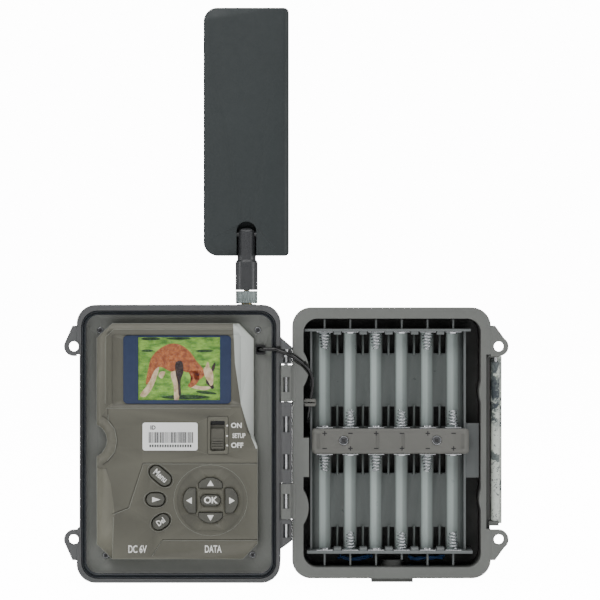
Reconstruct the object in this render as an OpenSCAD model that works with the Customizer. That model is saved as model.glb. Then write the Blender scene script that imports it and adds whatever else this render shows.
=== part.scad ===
// Trail camera with cellular link, opened flat like a book.
// Units are millimetres. +Z is up, the inside of both halves faces -Y.
// The front half (lens side) is at -X, the battery half at +X, and the case hinge runs along Z at X = 0.

/* [Case] */
// Height of the front half
front_h = 160.1; // [150:0.1:175]
// Width of the front half
front_w = 117.25; // [110:0.05:130]
// Depth of the front half, rim to lens face
front_depth = 41; // [36:0.5:48]
// Depth of the battery half
rear_depth = 30; // [26:0.5:36]
// Corner radius of both halves, seen from the inside
corner_r = 11; // [6:0.5:16]
// Rounding of the far edges of the two shells
edge_r = 7; // [3:0.5:10]
// Wall of the deep part of the front half
wall_t = 3; // [2:0.1:4]

/* [Hinge] */
// Radius of the hinge knuckles
knuckle_r = 3.3; // [2.8:0.1:3.6]
// Radius of the steel hinge pin
pin_r = 1.25; // [1:0.05:1.6]
// Radial running clearance in the hinge bores
run_gap = 0.05; // [0.02:0.01:0.1]

/* [Battery bay] */
// Distance between the axes of two neighbouring AA cells
cell_pitch = 14.85; // [14.6:0.05:15.5]
// Radius of the trough that one cell lies in
trough_r = 7.3; // [7.2:0.05:7.6]
// Depth of the cell axis below the rim
cell_d = 8.5; // [8:0.1:11]
// Free length of a contact spring
spring_len = 10; // [7:0.5:12]

/* [Control panel] */
// Height of the panel above the rim
panel_up = 1; // [0.5:0.1:1.4]
// Thickness of the panel skin
panel_t = 2.5; // [2:0.1:3]
// How far a key stands above the panel
key_up = 0.9; // [0.5:0.1:1.2]
// Gap around a key
key_gap = 0.35; // [0.3:0.05:0.5]

/* [Latch and lugs] */
// Radius of a padlock eye
eye_r = 2.8; // [2.5:0.1:3.2]
// Outer radius of the lug around the eye
lug_r = 5.6; // [5:0.1:6]
// Thickness of a lug
lug_t = 4; // [3:0.1:5]
// Length of the side clasp
latch_len = 97.8; // [80:0.1:98]

/* [Antenna] */
// Height of the paddle
paddle_h = 143.5; // [120:0.5:160]
// Width of the paddle
paddle_w = 49.4; // [40:0.1:52]
// Thickness of the paddle
paddle_t = 11; // [10:0.1:12]
// Outer radius of the swivel stem
stem_r = 6.5; // [6:0.1:6.6]
// Outer radius of the knurled nut
nut_r = 6.35; // [6:0.05:6.5]
// Radius of the antenna's plug
plug_r = 1.6; // [1.4:0.1:1.7]

/* [Mounting] */
// Radius of the 1/4 inch tripod thread
tripod_r = 3.175; // [3.1:0.005:3.25]
// Height of the strap slots
strap_h = 26; // [20:0.5:30]
// Clear depth of the strap slots
strap_gap = 5; // [4.5:0.1:6]

/* [Hidden] */
tray_z0 = 18.3;
tray_z1 = 144.7;
back_d = 27.5;
rail_x = [24, 91];
shackle_gap = 0.3;
eye_ring_r = 3.9;
nut_z0 = 160.8;
nut_z1 = 168.1;
nut_thread_z1 = 166.7;
nut_thread_r = 3.15;
nut_collar_r = 2.7;
knurl_r = 0.6;
stem_z0 = nut_z1 + 0.4;
upper_rib_z0 = [for (k = [0:5]) 146];
lower_rib_z0 = [9.6, 9.6, 9.6, 13, 9.6, 9.6];
$fn = 48;
y_rim = -20.5;
ax_y = y_rim - 0.3;
fx1 = -3.35;
fx0 = fx1 - front_w;
rx0 = 3.3;
rx1 = 117.7;
rz0 = 2.65;
rz1 = 158.6;
lug_x = 122.3;
lug_zs = [25.1, 136.1];
left_knuckles = [[24.8, 36.6], [57.6, 104.2], [126.0, 135.8]];
right_knuckles = [[36.9, 57.3], [104.5, 125.5]];
left_windows = [[26.3, 34.2], [65.6, 74.2], [86.9, 96], [127, 134.6]];
right_windows = [[43, 51.5], [109.9, 118.6]];
col_x = [for (k = [0:5]) 22.1 + cell_pitch * k];
pad_d = cell_d + 6.6;
ant_x = -23.1;
ant_d = 14;
ant_y = y_rim + ant_d;
tilt_d = 12.6;
tilt_z = 200.9;
paddle_z0 = 188.4;
latch_x = 120.6;
latch_y = y_rim + 6;
latch_z0 = 32.3;
tripod_x = 61.1;
tripod_y = y_rim + 15;
port_d = 15.5;
jack_x = -85.5;
data_x = -42;
lens_x = -62;
lens_z = 94;
pir_z = 46;
cover_x0 = -96.5;
cover_x1 = -33.5;
cover_d = 23;
cover_z = 1.1;
frame_screw_at = [[-107.4, 145.3], [-16.4, 145.5], [-104.2, 15.4], [-19.5, 15.7]];
bar_screw_at = [[33.1, 81.8], [86.7, 82]];
panel_pts = [[-100, 149.3], [-108.8, 141], [-108.8, 22.5], [-100, 14], [-25, 14], [-16.6, 22.7],
  [-16.6, 78.3], [-18.7, 84.6], [-18.7, 140.5], [-27.3, 149.3]];
cable_pts = [[-15.5, 6.6, 134.1], [-15.3, 3.9, 134.2], [-14.3, 1.5, 134.35], [-12, 0.4, 134.5],
  [-9, 0.2, 134.55], [-6.6, -0.4, 134.4], [-4.6, -1.5, 133.8], [-2.4, -2.5, 133],
  [0, -3, 132.2], [2.4, -2.6, 131.3], [4.6, -1.4, 130], [6.6, -0.1, 128.5],
  [8.6, 1.1, 127], [10.4, 2.2, 125.3], [12.2, 3.2, 123.3], [13.7, 3.9, 120.9],
  [14.8, 4.3, 118], [15.1, 4.6, 114.7], [14.8, 4.8, 111.5], [14.2, 5, 108],
  [13.7, 5.2, 103.7], [13.2, 5.6, 100], [12.6, 6.6, 96.5], [12.2, 8.6, 93.2],
  [12, 11.4, 90.2], [12, 14.6, 87.6], [12, 18, 86]];
cable_r = 1.1;

// ---- helpers ----
module slab(d0, d1) {
  translate([0, y_rim + d1, 0])
    rotate([90, 0, 0])
      linear_extrude(d1 - d0)
        children();
}

module rrect(x0, z0, x1, z1, r) {
  translate([x0 + r, z0])
    square([x1 - x0 - 2 * r, z1 - z0]);
  translate([x0, z0 + r])
    square([x1 - x0, z1 - z0 - 2 * r]);
  for (x = [x0 + r, x1 - r], z = [z0 + r, z1 - r])
    translate([x, z])
      circle(r);
}

module box(x0, x1, d0, d1, z0, z1) {
  translate([x0, y_rim + d0, z0])
    cube([x1 - x0, d1 - d0, z1 - z0]);
}

module rod_y(x, z, r, d0, d1) {
  translate([x, y_rim + d1, z])
    rotate([90, 0, 0])
      cylinder(r = r, h = d1 - d0);
}

module rod_z(x, y, r, z0, z1) {
  translate([x, y, z0])
    cylinder(r = r, h = z1 - z0);
}

module rod_x(x0, x1, d, z, r) {
  translate([x0, y_rim + d, z])
    rotate([0, 90, 0])
      cylinder(r = r, h = x1 - x0);
}

module segment(p, q, w) {
  translate(p)
    rotate(atan2(q[1] - p[1], q[0] - p[0]))
      translate([0, -w / 2])
        square([norm(q - p), w]);
}

// Block with round corners in the front view and round far edges on all four sides.
module case_block(x0, z0, x1, z1, depth, r, er) {
  intersection() {
    slab(0, depth)
      rrect(x0, z0, x1, z1, r);
    translate([0, 0, z0 - 5])
      linear_extrude(z1 - z0 + 10)
        union() {
          translate([x0, y_rim - 5])
            square([x1 - x0, depth + 5 - er]);
          translate([x0 + er, y_rim - 5])
            square([x1 - x0 - 2 * er, depth + 5]);
          for (x = [x0 + er, x1 - er])
            translate([x, y_rim + depth - er])
              circle(er);
        }
    translate([x0 - 5, 0, 0])
      rotate([90, 0, 90])
        linear_extrude(x1 - x0 + 10)
          union() {
            translate([y_rim - 5, z0])
              square([depth + 5 - er, z1 - z0]);
            translate([y_rim - 5, z0 + er])
              square([depth + 5, z1 - z0 - 2 * er]);
            for (z = [z0 + er, z1 - er])
              translate([y_rim + depth - er, z])
                circle(er);
          }
  }
}

module knuckle(z0, z1, side) {
  rod_z(0, ax_y, knuckle_r, z0, z1);
  translate([side > 0 ? 0 : -5.2, ax_y, z0])
    cube([5.2, knuckle_r, z1 - z0]);
}

module knuckle_cuts(ranges, windows, r) {
  rod_z(0, ax_y, r, 10, 150);
  for (w = windows)
    translate([-1.9, ax_y - 8, w[0]])
      cube([3.8, 7.4, w[1] - w[0]]);
}

// ---- battery half ----
module rear_block() {
  case_block(rx0, rz0, rx1, rz1, rear_depth, corner_r, edge_r);
}

module rear_shell() {
  color([0.46, 0.47, 0.45])
    difference() {
      union() {
        difference() {
          rear_block();
          slab(back_d, rear_depth + 1)
            translate([-20, -20])
              square([160, 200]);
          slab(-1, back_d + 1)
            difference() {
              rrect(9.9, 9, 112, 152.1, 8);
              for (z = [43.5, 123])
                translate([-5.1, z])
                  circle(18);
              translate([9, 61])
                square([4.1, 22.5]);
              for (z = [48, 110])
                translate([129, z])
                  circle(18);
            }
          box(115, 120, -1, 7, 31, 131.5);
          rod_z(0, ax_y, 3.7, 18, 143);
          slab(-1, 2.6)
            segment([1.5, 132], [11.8, 124.4], 3.6);
          slab(-1, 5.6)
            segment([9.6, 126.6], [15, 119.6], 3.6);
        }
        for (k = right_knuckles)
          knuckle(k[0], k[1], 1);
        box(49.1, 73.1, 5, 25, 0, 3);
        rod_z(tripod_x, tripod_y, 6.6, 3, 12.5);
        for (z = [33.9, 131.0])
          box(116.6, 122.6, lug_t + 0.05, 9.2, z - 1.3, z + 1.3);
      }
      knuckle_cuts(right_knuckles, right_windows, pin_r + 0.01);
      rod_z(tripod_x, tripod_y, 4.55, -1, 9.6);
      rod_z(latch_x, latch_y, 1.02, 31, 134);
    }
}

// back wall of the battery half
module rear_back() {
  color([0.46, 0.47, 0.45])
    difference() {
      rear_block();
      slab(-1, back_d)
        translate([-20, -20])
          square([160, 200]);
    }
}

// bosses that take the bar screws
module bar_bosses() {
  color([0.46, 0.47, 0.45])
    for (p = bar_screw_at)
      difference() {
        rod_y(p[0], p[1], 3.2, 18.2, back_d);
        rod_y(p[0], p[1], 1.3, 17, back_d - 0.8);
      }
}

// two slotted rails for the tree strap, joined by two low cross ribs
module strap_rails() {
  color([0.46, 0.47, 0.45])
    difference() {
      union() {
        for (x = rail_x)
          box(x, x + 6, rear_depth, rear_depth + 9, 62, 108);
        for (z = [66, 104.5])
          box(30, 91, rear_depth, rear_depth + 2, z - 1.2, z + 1.2);
      }
      for (x = rail_x) {
        box(x - 1, x + 7, rear_depth + 1.5, rear_depth + 1.5 + strap_gap, 85 - strap_h / 2,
          85 + strap_h / 2);
        for (k = [0:5])
          translate([x - 2, y_rim + rear_depth + 9, 65 + 8 * k])
            rotate([45, 0, 0])
              translate([0, -1.1, -1.1])
                cube([10, 2.2, 2.2]);
      }
    }
}

module lug_pair(side, edge) {
  for (z = lug_zs)
    difference() {
      union() {
        intersection() {
          rod_y(side * lug_x, z, lug_r, 0, lug_t);
          slab(-1, lug_t + 1)
            translate([side > 0 ? edge : -edge - 30, z - 20])
              square([30, 40]);
        }
        rod_y(side * lug_x, z, eye_ring_r, 0, lug_t);
        slab(0, lug_t)
          translate([side > 0 ? edge : -lug_x, z - lug_r])
            square([lug_x - edge, 2 * lug_r]);
        slab(0, lug_t)
          polygon([[side * edge, z], [side * edge, z + (z > 80 ? 12 : -12)],
            [side * (edge + 2.4), z + (z > 80 ? 12 : -12)],
            [side * (lug_x + 5.4), z + (z > 80 ? 1.6 : -1.6)], [side * lug_x, z]]);
        slab(0, lug_t + 5)
          polygon([[side * edge, z + (z > 80 ? 3.4 : -3.4)],
            [side * (edge + 2.8), z + (z > 80 ? 4.8 : -4.8)],
            [side * (edge + 2), z + (z > 80 ? 9 : -9)],
            [side * edge, z + (z > 80 ? 11 : -11)]]);
      }
      rod_y(side * lug_x, z, eye_r, -1, lug_t + 8);
    }
}

module rear_lugs() {
  color([0.44, 0.45, 0.43])
    lug_pair(1, rx1 + 0.02);
}

module battery_tray() {
  color([0.42, 0.44, 0.45])
    difference() {
      union() {
        difference() {
          box(15, 102.7, pad_d, pad_d + 2.6, tray_z0, tray_z1);
          for (x = col_x)
            rod_z(x, y_rim + cell_d, trough_r, 17, 146);
          for (k = [0:4], r = [[18.2, 31], [62.3, 74.1], [88.9, 100.9], [131.8, 144.8]])
            box(col_x[k] + 3.9, col_x[k + 1] - 3.9, pad_d - 1, pad_d + 4, r[0], r[1]);
        }
        for (k = [0:4], r = [[tray_z0, 32], [61.3, 74.5], [88.5, 101.9], [130.8, tray_z1]])
          box(col_x[k] + cell_pitch / 2 - 0.6, col_x[k] + cell_pitch / 2 + 0.6, pad_d - 2.2,
            pad_d + 2.6, r[0], r[1]);
        box(15, 102.7, pad_d + 0.2, pad_d + 2.6, 73.5, 89.5);
      }
      for (p = bar_screw_at)
        rod_y(p[0], p[1], 1.35, pad_d - 1, pad_d + 4);
    }
}

// end wall of the tray with its stiffening ribs outside and a short post between the cells inside
module tray_end(x0, x1, z0, z1, rib_z0, rib_z1, post0, post1) {
  color([0.42, 0.44, 0.45])
    union() {
      box(x0, x1, 3, 27.2, z0, z1);
      for (k = [0:5])
        box(col_x[k] - 0.5, col_x[k] + 0.5, 5, 16, rib_z0[k], rib_z1);
      for (k = [0:4])
        box(col_x[k] + cell_pitch / 2 - 2.1, col_x[k] + cell_pitch / 2 + 2.1, 3.5,
          pad_d - 2.4, post0, post1);
    }
}

module tray_upper_wall() {
  tray_end(10.5, 106.4, tray_z1, 146.2, upper_rib_z0, 151.6, 142.9, tray_z1 + 0.1);
}

module tray_lower_wall() {
  tray_end(11.9, 107.4, 16.6, tray_z0, lower_rib_z0, 16.8, tray_z0 - 0.1, 20.1);
}

module tray_left_wall() {
  color([0.42, 0.44, 0.45])
    box(13.8, 15, 9, 27.2, tray_z0, tray_z1);
}

module tray_right_wall() {
  color([0.42, 0.44, 0.45])
    union() {
      box(102.7, 103.9, 9, 27.2, tray_z0, tray_z1);
      box(103.5, 111.4, 9.5, 12, 60, 91.5);
      box(103.5, 105, 9.5, 27.2, 60, 91.5);
    }
}

module tray_bar() {
  color([0.44, 0.46, 0.47])
    difference() {
      union() {
        slab(2, 5.2)
          rrect(14.8, 74.3, 105.2, 88.7, 2);
        for (x = [15.2, 100])
          box(x, x + 2.4, 5, pad_d - 0.02, 74.8, 88.2);
        box(16, 102, 5, pad_d - 0.02, 74.9, 76.9);
        box(16, 102, 5, pad_d - 0.02, 86.1, 88.1);
        for (p = bar_screw_at)
          rod_y(p[0], p[1], 4, 5, pad_d - 0.02);
      }
      for (p = bar_screw_at) {
        rod_y(p[0], p[1], 2.9, 0, 3.6);
        rod_y(p[0], p[1], 1.35, 0, pad_d + 1);
      }
      for (p = [[18.5, 81.5], [52.6, 81.5], [67.4, 81.5], [101.5, 81.5]])
        slab(1.9, 2.4)
          translate([p[0] - 1, p[1] - 4.2])
            square([2, 8.4]);
      for (k = [0:5]) {
        slab(1.9, 2.35)
          translate([col_x[k] - 1.3, 85.7])
            square([2.6, 0.6]);
        slab(1.9, 2.35)
          translate([col_x[k] - 1.3, 77])
            square([2.6, 0.6]);
      }
      for (k = [0, 2, 4]) {
        slab(1.9, 2.35)
          translate([col_x[k] - 0.3, 84.7])
            square([0.6, 2.6]);
        slab(1.9, 2.35)
          translate([col_x[k + 1] - 0.3, 76])
            square([0.6, 2.6]);
      }
    }
}

module bar_screws() {
  color([0.55, 0.55, 0.56])
    for (p = bar_screw_at)
      difference() {
        union() {
          rod_y(p[0], p[1], 2.6, 2.3, 3.58);
          rod_y(p[0], p[1], 1.25, 3.5, 26);
        }
        for (a = [45, 135])
          translate([p[0], y_rim + 2.2, p[1]])
            rotate([0, a, 0])
              translate([-1.7, 0, -0.35])
                cube([3.4, 0.8, 0.7]);
      }
}

module spring(x, z, dir) {
  translate([x, y_rim + cell_d, z])
    rotate([dir > 0 ? 0 : 180, 0, 0])
      difference() {
        cylinder(r1 = 3.3, r2 = 1.8, h = spring_len);
        translate([0, 0, -0.1])
          cylinder(r1 = 2.6, r2 = 1.1, h = spring_len + 0.2);
      }
}

module cell_springs() {
  color([0.75, 0.76, 0.78])
    for (k = [0:5])
      if (k % 2 == 0) {
        spring(col_x[k], 144.18, -1);
        spring(col_x[k], 73.6, -1);
      } else {
        spring(col_x[k], 89.42, 1);
        spring(col_x[k], 18.82, 1);
      }
}

module contact(x, z, nub) {
  box(x - 4.6, x + 4.6, 3.4, 13.4, z, z + 0.4);
  if (nub != 0)
    rod_z(x, y_rim + cell_d, 2.6, nub > 0 ? z + 0.3 : z - 0.7, nub > 0 ? z + 1.1 : z + 0.1);
}

module cell_contacts() {
  color([0.72, 0.73, 0.75])
    for (k = [0:5]) {
      contact(col_x[k], 144.2, k % 2 == 0 ? 0 : -1);
      contact(col_x[k], 89.02, k % 2 == 0 ? 1 : 0);
      contact(col_x[k], 73.6, k % 2 == 0 ? 0 : -1);
      contact(col_x[k], 18.4, k % 2 == 0 ? 1 : 0);
    }
}

module battery_wires() {
  color([0.12, 0.3, 0.62]) {
    rod_x(30, 50, 20.2, 13.6, 0.8);
    rod_x(71, 92, 20.2, 13.6, 0.8);
    rod_x(31, 49.5, 18.2, 12.4, 0.8);
    rod_x(72, 91, 18.2, 12.4, 0.8);
  }
}

module tripod_insert() {
  color([0.72, 0.6, 0.35])
    difference() {
      rod_z(tripod_x, tripod_y, 4.5, 0.1, 9.5);
      rod_z(tripod_x, tripod_y, tripod_r, -1, 10);
    }
}

module hinge_pin() {
  color([0.8, 0.81, 0.82])
    rod_z(0, ax_y, pin_r, 24.9, 135.7);
}

module latch_pin() {
  color([0.8, 0.81, 0.82])
    rod_z(latch_x, latch_y, 1, 32.7, 132.2);
}

module cable_clip() {
  color([0.4, 0.41, 0.4])
    difference() {
      slab(2.2, 9)
        rrect(10, 101.6, 17.2, 105.8, 1);
      box(12.2, 15.6, 3.6, 8.2, 100, 107);
      box(10, 18, 1, 3.7, 103.3, 104.1);
    }
}

// ---- front half ----
module front_shell() {
  color([0.3, 0.3, 0.31])
    difference() {
      union() {
        difference() {
          case_block(fx0, 0, fx1, front_h, front_depth, corner_r, edge_r);
          slab(-1, 8)
            rrect(fx0 + 2.7, 2.5, fx1 - 2.35, 156.7, 9.5);
          slab(7.9, front_depth - wall_t)
            rrect(-112, 5.5, -8.7, 153.7, 8);
          box(-125, -119, -1, 50, 31, 131.5);
          box(-125, -115, 10, 50, 31, 131.5);
          rod_z(0, ax_y, 3.7, 18, 143);
        }
        for (k = left_knuckles)
          knuckle(k[0], k[1], -1);
        intersection() {
          rod_z(0, ax_y, knuckle_r, 19.8, 141.6);
          slab(-9, 5)
            polygon([[-4, 142.2], [-4, 135.8], [3.4, 135.8]]);
        }
        intersection() {
          rod_z(0, ax_y, knuckle_r, 19.6, 141.6);
          slab(-9, 5)
            polygon([[-4, 19.2], [3.6, 24.8], [-4, 24.8]]);
        }
        translate([-5.2, ax_y, 19.8])
          cube([2.4, knuckle_r, 121.6]);
        for (p = frame_screw_at)
          rod_y(p[0], p[1], 2, 8.1, front_depth - 2);
        difference() {
          rod_y(lens_x, lens_z, 15.5, front_depth - 1, front_depth + 4.1);
          rod_y(lens_x, lens_z, 12.6, front_depth + 2.6, front_depth + 5);
        }
        slab(front_depth - 1, front_depth + 1.6)
          difference() {
            rrect(-99.5, 112, -24.5, 150, 6);
            rrect(-97, 114.5, -27, 147.5, 4);
          }
        rod_y(lens_x, pir_z, 17, front_depth - 1, front_depth + 1.2);
        rod_z(ant_x, ant_y, 5.5, 158, 160.5);
      }
      knuckle_cuts(left_knuckles, left_windows, pin_r + run_gap);
      for (k = right_knuckles)
        rod_z(0, ax_y, 3.7, k[0] - 0.25, k[1] + 0.25);
      for (p = frame_screw_at)
        rod_y(p[0], p[1], 0.98, 7, 18);
      for (z = lug_zs)
        rod_y(-lug_x, z, eye_r + shackle_gap, -1, front_depth + 6);
      for (z = lug_zs)
        rod_y(-lug_x, z, eye_ring_r + 0.02, -1, lug_t + 0.02);
      rod_y(lens_x, lens_z, 9.5, front_depth - 5, front_depth + 5);
      slab(front_depth - 5, front_depth + 5)
        rrect(-95.5, 116, -28.5, 146, 3);
      slab(front_depth - 1.6, front_depth + 5)
        rrect(-97, 114.5, -27, 147.5, 4);
      rod_y(lens_x, pir_z, 12, front_depth - 5, front_depth + 5);
      rod_y(lens_x, pir_z, 14.2, front_depth - 0.8, front_depth + 5);
      rod_y(-84, 94, 1.5, front_depth - 5, front_depth + 2);
      rod_z(ant_x, ant_y, 3.2, 150, 165);
      box(cover_x0 - 0.4, cover_x1 + 0.4, 10.5, cover_d + 1.3, -1, 2.2);
      translate([jack_x, y_rim + port_d, 0])
        cylinder(r = 4.2, h = 8);
      box(data_x - 5.3, data_x + 5.3, port_d - 2.6, port_d + 2.6, 0, 8);
      box(-9.5, 0, -1, 1.8, 132.6, 136.2);
      box(-4, 4, -8, -1.25, 129.9, 134.6);
    }
}

module front_lugs() {
  color([0.3, 0.3, 0.31])
    lug_pair(-1, -fx0 + 0.02);
}

module gasket() {
  color([0.05, 0.06, 0.07])
    difference() {
      slab(0.3, 4)
        difference() {
          rrect(fx0 + 2.75, 2.55, fx1 - 2.4, 156.65, 9.45);
          rrect(fx0 + 5.45, 5.45, fx1 - 5.15, 154.15, 7);
        }
      slab(0, 1.3)
        difference() {
          rrect(fx0 + 3.65, 3.45, fx1 - 3.3, 155.75, 8.6);
          rrect(fx0 + 4.55, 4.35, fx1 - 4.2, 154.95, 7.7);
        }
      box(-10, -4, -1, 1.8, 132.6, 136.2);
    }
}

module inner_frame() {
  color([0.34, 0.34, 0.34])
    difference() {
      slab(4.1, 7.95)
        rrect(fx0 + 2.8, 2.6, fx1 - 2.45, 156.6, 9.4);
      slab(3, 6)
        rrect(fx0 + 5.6, 5.6, fx1 - 5.3, 154.1, 7);
      slab(3, 9)
        panel_outline(0.15);
      for (p = frame_screw_at) {
        rod_y(p[0], p[1], 2, 5, 6.9);
        rod_y(p[0], p[1], 1.05, 5, 9);
      }
      slab(3, 9)
        rrect(-17.6, 131.3, -12, 137, 1);
    }
}

module frame_screws() {
  color([0.45, 0.45, 0.46])
    for (p = frame_screw_at)
      difference() {
        union() {
          rod_y(p[0], p[1], 1.7, 5.8, 6.88);
          rod_y(p[0], p[1], 0.95, 6.8, 17);
        }
        for (a = [30, 120])
          translate([p[0], y_rim + 5.7, p[1]])
            rotate([0, a, 0])
              translate([-1.1, 0, -0.25])
                cube([2.2, 0.6, 0.5]);
      }
}

module panel_outline(g) {
  difference() {
    if (g > 0)
      offset(delta = g)
        polygon(panel_pts);
    else
      polygon(panel_pts);
    translate([-112.9, 82.1])
      circle(10 - g);
  }
}

module pill(x, z, w, h, a, g) {
  translate([x, z])
    rotate(a)
      rrect(-w / 2 - g, -h / 2 - g, w / 2 + g, h / 2 + g, h / 2 + g - 0.01);
}

module arch_v(x, z, w, h, dir, g) {
  intersection() {
    translate([x - w / 2 - g, z - h / 2 - g])
      square([w + 2 * g, h + 2 * g]);
    translate([x, z - dir * 5.65])
      circle(8.5 + g);
  }
}

module arch_h(x, z, w, h, dir, g) {
  intersection() {
    translate([x - w / 2 - g, z - h / 2 - g])
      square([w + 2 * g, h + 2 * g]);
    translate([x - dir * 5.45, z])
      circle(9 + g);
  }
}

module key_2d(i, g) {
  if (i == 0) pill(-72.3, 61.8, 13.6, 7.2, -40, g);
  if (i == 1) pill(-75.1, 48.2, 10.3, 7, 0, g);
  if (i == 2) pill(-72, 35.3, 10.2, 7, 35, g);
  if (i == 3) pill(-43.5, 47.7, 11.2, 6, 0, g);
  if (i == 4) arch_v(-43.5, 57.8, 13.4, 5.7, 1, g);
  if (i == 5) arch_v(-43.5, 37.7, 13.4, 5.6, -1, g);
  if (i == 6) arch_h(-55.6, 47.6, 7.1, 14, -1, g);
  if (i == 7) arch_h(-31.4, 47.6, 7.1, 14, 1, g);
}

key_at = [[-72.3, 61.8], [-75.1, 48.2], [-72, 35.3], [-43.5, 47.7], [-43.5, 57.8], [-43.5, 37.7],
  [-55.6, 47.6], [-31.4, 47.6]];

module panel_hollow() {
  rrect(-98, 16.4, -27, 146.9, 2);
  rrect(-106.3, 96, -21, 139, 2);
  rrect(-106.3, 25, -19, 68, 2);
}

module control_panel() {
  color([0.38, 0.37, 0.33])
    difference() {
      slab(-panel_up, 11)
        panel_outline(0);
      slab(panel_t - panel_up, 12)
        panel_hollow();
      slab(-panel_up - 1, 0.2)
        rrect(-100.3, 102.6, -26.1, 143, 1.5);
      slab(-panel_up - 1, 4)
        rrect(-93.75, 103.15, -31.75, 142.45, 2.5);
      slab(-panel_up - 1, -panel_up + 0.45)
        rrect(-103.1, 101, -24.2, 145.2, 2.2);
      for (i = [0:7])
        slab(-panel_up - 1, 4)
          key_2d(i, key_gap);
      for (i = [0:2])
        slab(-panel_up - 1, -panel_up + 0.4)
          key_2d(i, 0.9);
      slab(-panel_up - 1, -panel_up + 0.5)
        dpad_zone();
      slab(-panel_up - 1, 4)
        rrect(-43.6, 76.2, -35.3, 93.3, 0.8);
      slab(-panel_up - 1, -panel_up + 0.35)
        difference() {
          rrect(-45.5, 73.9, -33, 96.2, 1.2);
          rrect(-45, 74.4, -33.5, 95.7, 0.8);
        }
      slab(-panel_up - 1, -panel_up + 0.35) {
        segment([-82.4, 69.1], [-16, 69.1], 0.45);
        segment([-82.4, 69.1], [-90.9, 43.5], 0.45);
        segment([-90.9, 43.5], [-100, 40.1], 0.45);
        segment([-71, 25.1], [-16, 25.1], 0.45);
        segment([-71, 25.1], [-76.8, 16.2], 0.45);
        segment([-102.5, 100.8], [-102.5, 95], 0.45);
        difference() {
          intersection() {
            translate([-112.9, 82.1])
              circle(16);
            translate([-110, 68.2])
              square([20, 28]);
          }
          translate([-112.9, 82.1])
            circle(15.55);
        }
      }
      intersection() {
        slab(-panel_up - 1, 2)
          polygon([[-15, 150], [-27.3, 150], [-30.5, 149.9], [-30.4, 130.8], [-28.9, 119.5],
            [-26, 103.3], [-24.3, 91.5], [-22.4, 86.9], [-15, 77.5]]);
        translate([-30.5, y_rim - panel_up, 70])
          rotate([0, 0, 9])
            translate([0, -10, 0])
              cube([30, 10, 90]);
      }
      intersection() {
        slab(-panel_up - 1, 2)
          polygon([[-110, 66.8], [-103.1, 66], [-100.2, 53], [-98.5, 41.5], [-100, 40.4],
            [-100, 13], [-110, 13]]);
        translate([-99, y_rim - panel_up, 10])
          rotate([0, 0, -8])
            translate([-30, -10, 0])
              cube([30, 10, 60]);
      }
      slab(-panel_up - 1, -panel_up + 0.2)
        rrect(-82.9, 76, -50.6, 92.7, 1.6);
    }
}

module dpad_zone() {
  intersection() {
    translate([-43.5, 47.7])
      circle(19.3);
    translate([-66, 30])
      square([46, 36]);
  }
}

module screen_window() {
  color([0.13, 0.15, 0.24])
    slab(-0.1, 1.45)
      rrect(-93.7, 103.2, -31.8, 142.4, 2.45);
}

module lcd_module() {
  color([0.2, 0.25, 0.2])
    slab(1.6, 4.4)
      rrect(-92, 104, -34, 142, 0.8);
}

module switch_body() {
  color([0.6, 0.6, 0.62])
    difference() {
      box(-44, -35, 2.9, 5.5, 74, 96);
      box(-41.2, -37.7, 2, 4.6, 79, 89.5);
    }
}

module tact_switches() {
  color([0.15, 0.15, 0.15])
    for (p = key_at) {
      box(p[0] - 2.5, p[0] + 2.5, 4.1, 5.5, p[1] - 2.5, p[1] + 2.5);
      rod_y(p[0], p[1], 1.3, 3.6, 4.2);
    }
}

module main_pcb() {
  color([0.05, 0.3, 0.14])
    slab(5.5, 7.1) {
      rrect(-97.5, 17, -27.6, 146.2, 1.5);
      rrect(-105.6, 96.6, -21.6, 138.4, 1.5);
      rrect(-105.6, 25.6, -19.6, 67.4, 1.5);
    }
}

module modem_module() {
  color([0.7, 0.71, 0.72])
    slab(7.15, 10)
      rrect(-62, 100, -30, 130, 0.8);
}

module sd_slot() {
  color([0.72, 0.73, 0.74])
    difference() {
      box(-95, -68, 7.15, 10.2, 28, 57);
      box(-94, -69, 7.8, 9.8, 26, 50);
    }
}

module io_board() {
  color([0.05, 0.3, 0.14])
    slab(19.2, 20.8)
      rrect(-98, 6.2, -32, 34, 1);
}

module dc_jack() {
  color([0.08, 0.08, 0.08])
    difference() {
      box(jack_x - 4.5, jack_x + 4.5, 11.4, 19.15, 5.7, 19);
      rod_z(jack_x, y_rim + port_d, 2.9, 5, 15);
    }
}

module data_port() {
  color([0.7, 0.71, 0.72])
    difference() {
      box(data_x - 4.2, data_x + 4.2, 13, 19.15, 5.7, 14.5);
      box(data_x - 3.6, data_x + 3.6, 14, 17.4, 5, 12.5);
    }
}

module id_label() {
  color([0.93, 0.93, 0.92])
    slab(-panel_up - 0.05, -panel_up + 0.2)
      rrect(-82.6, 76.3, -50.9, 92.4, 1.5);
}

module lens_barrel() {
  color([0.07, 0.07, 0.08])
    difference() {
      union() {
        rod_y(lens_x, lens_z, 8.8, 30, front_depth + 1.9);
        rod_y(lens_x, lens_z, 7, 24.9, 30.2);
      }
      rod_y(lens_x, lens_z, 4.5, 24, 40);
      translate([lens_x, y_rim + 38, lens_z])
        rotate([-90, 0, 0])
          cylinder(r1 = 4.5, r2 = 8, h = 5.2);
    }
}

module lens_window() {
  color([0.1, 0.12, 0.18])
    rod_y(lens_x, lens_z, 12.4, front_depth + 2.65, front_depth + 3.7);
}

module image_sensor() {
  color([0.06, 0.2, 0.3]) {
    slab(22, 23.6)
      rrect(lens_x - 12, lens_z - 12, lens_x + 12, lens_z + 12, 1);
    box(lens_x - 3.5, lens_x + 3.5, 23.5, 24.8, lens_z - 3, lens_z + 3);
  }
}

module ir_board() {
  color([0.05, 0.3, 0.14])
    slab(31, 32.6)
      rrect(-97, 114, -29, 148, 1.5);
}

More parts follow.
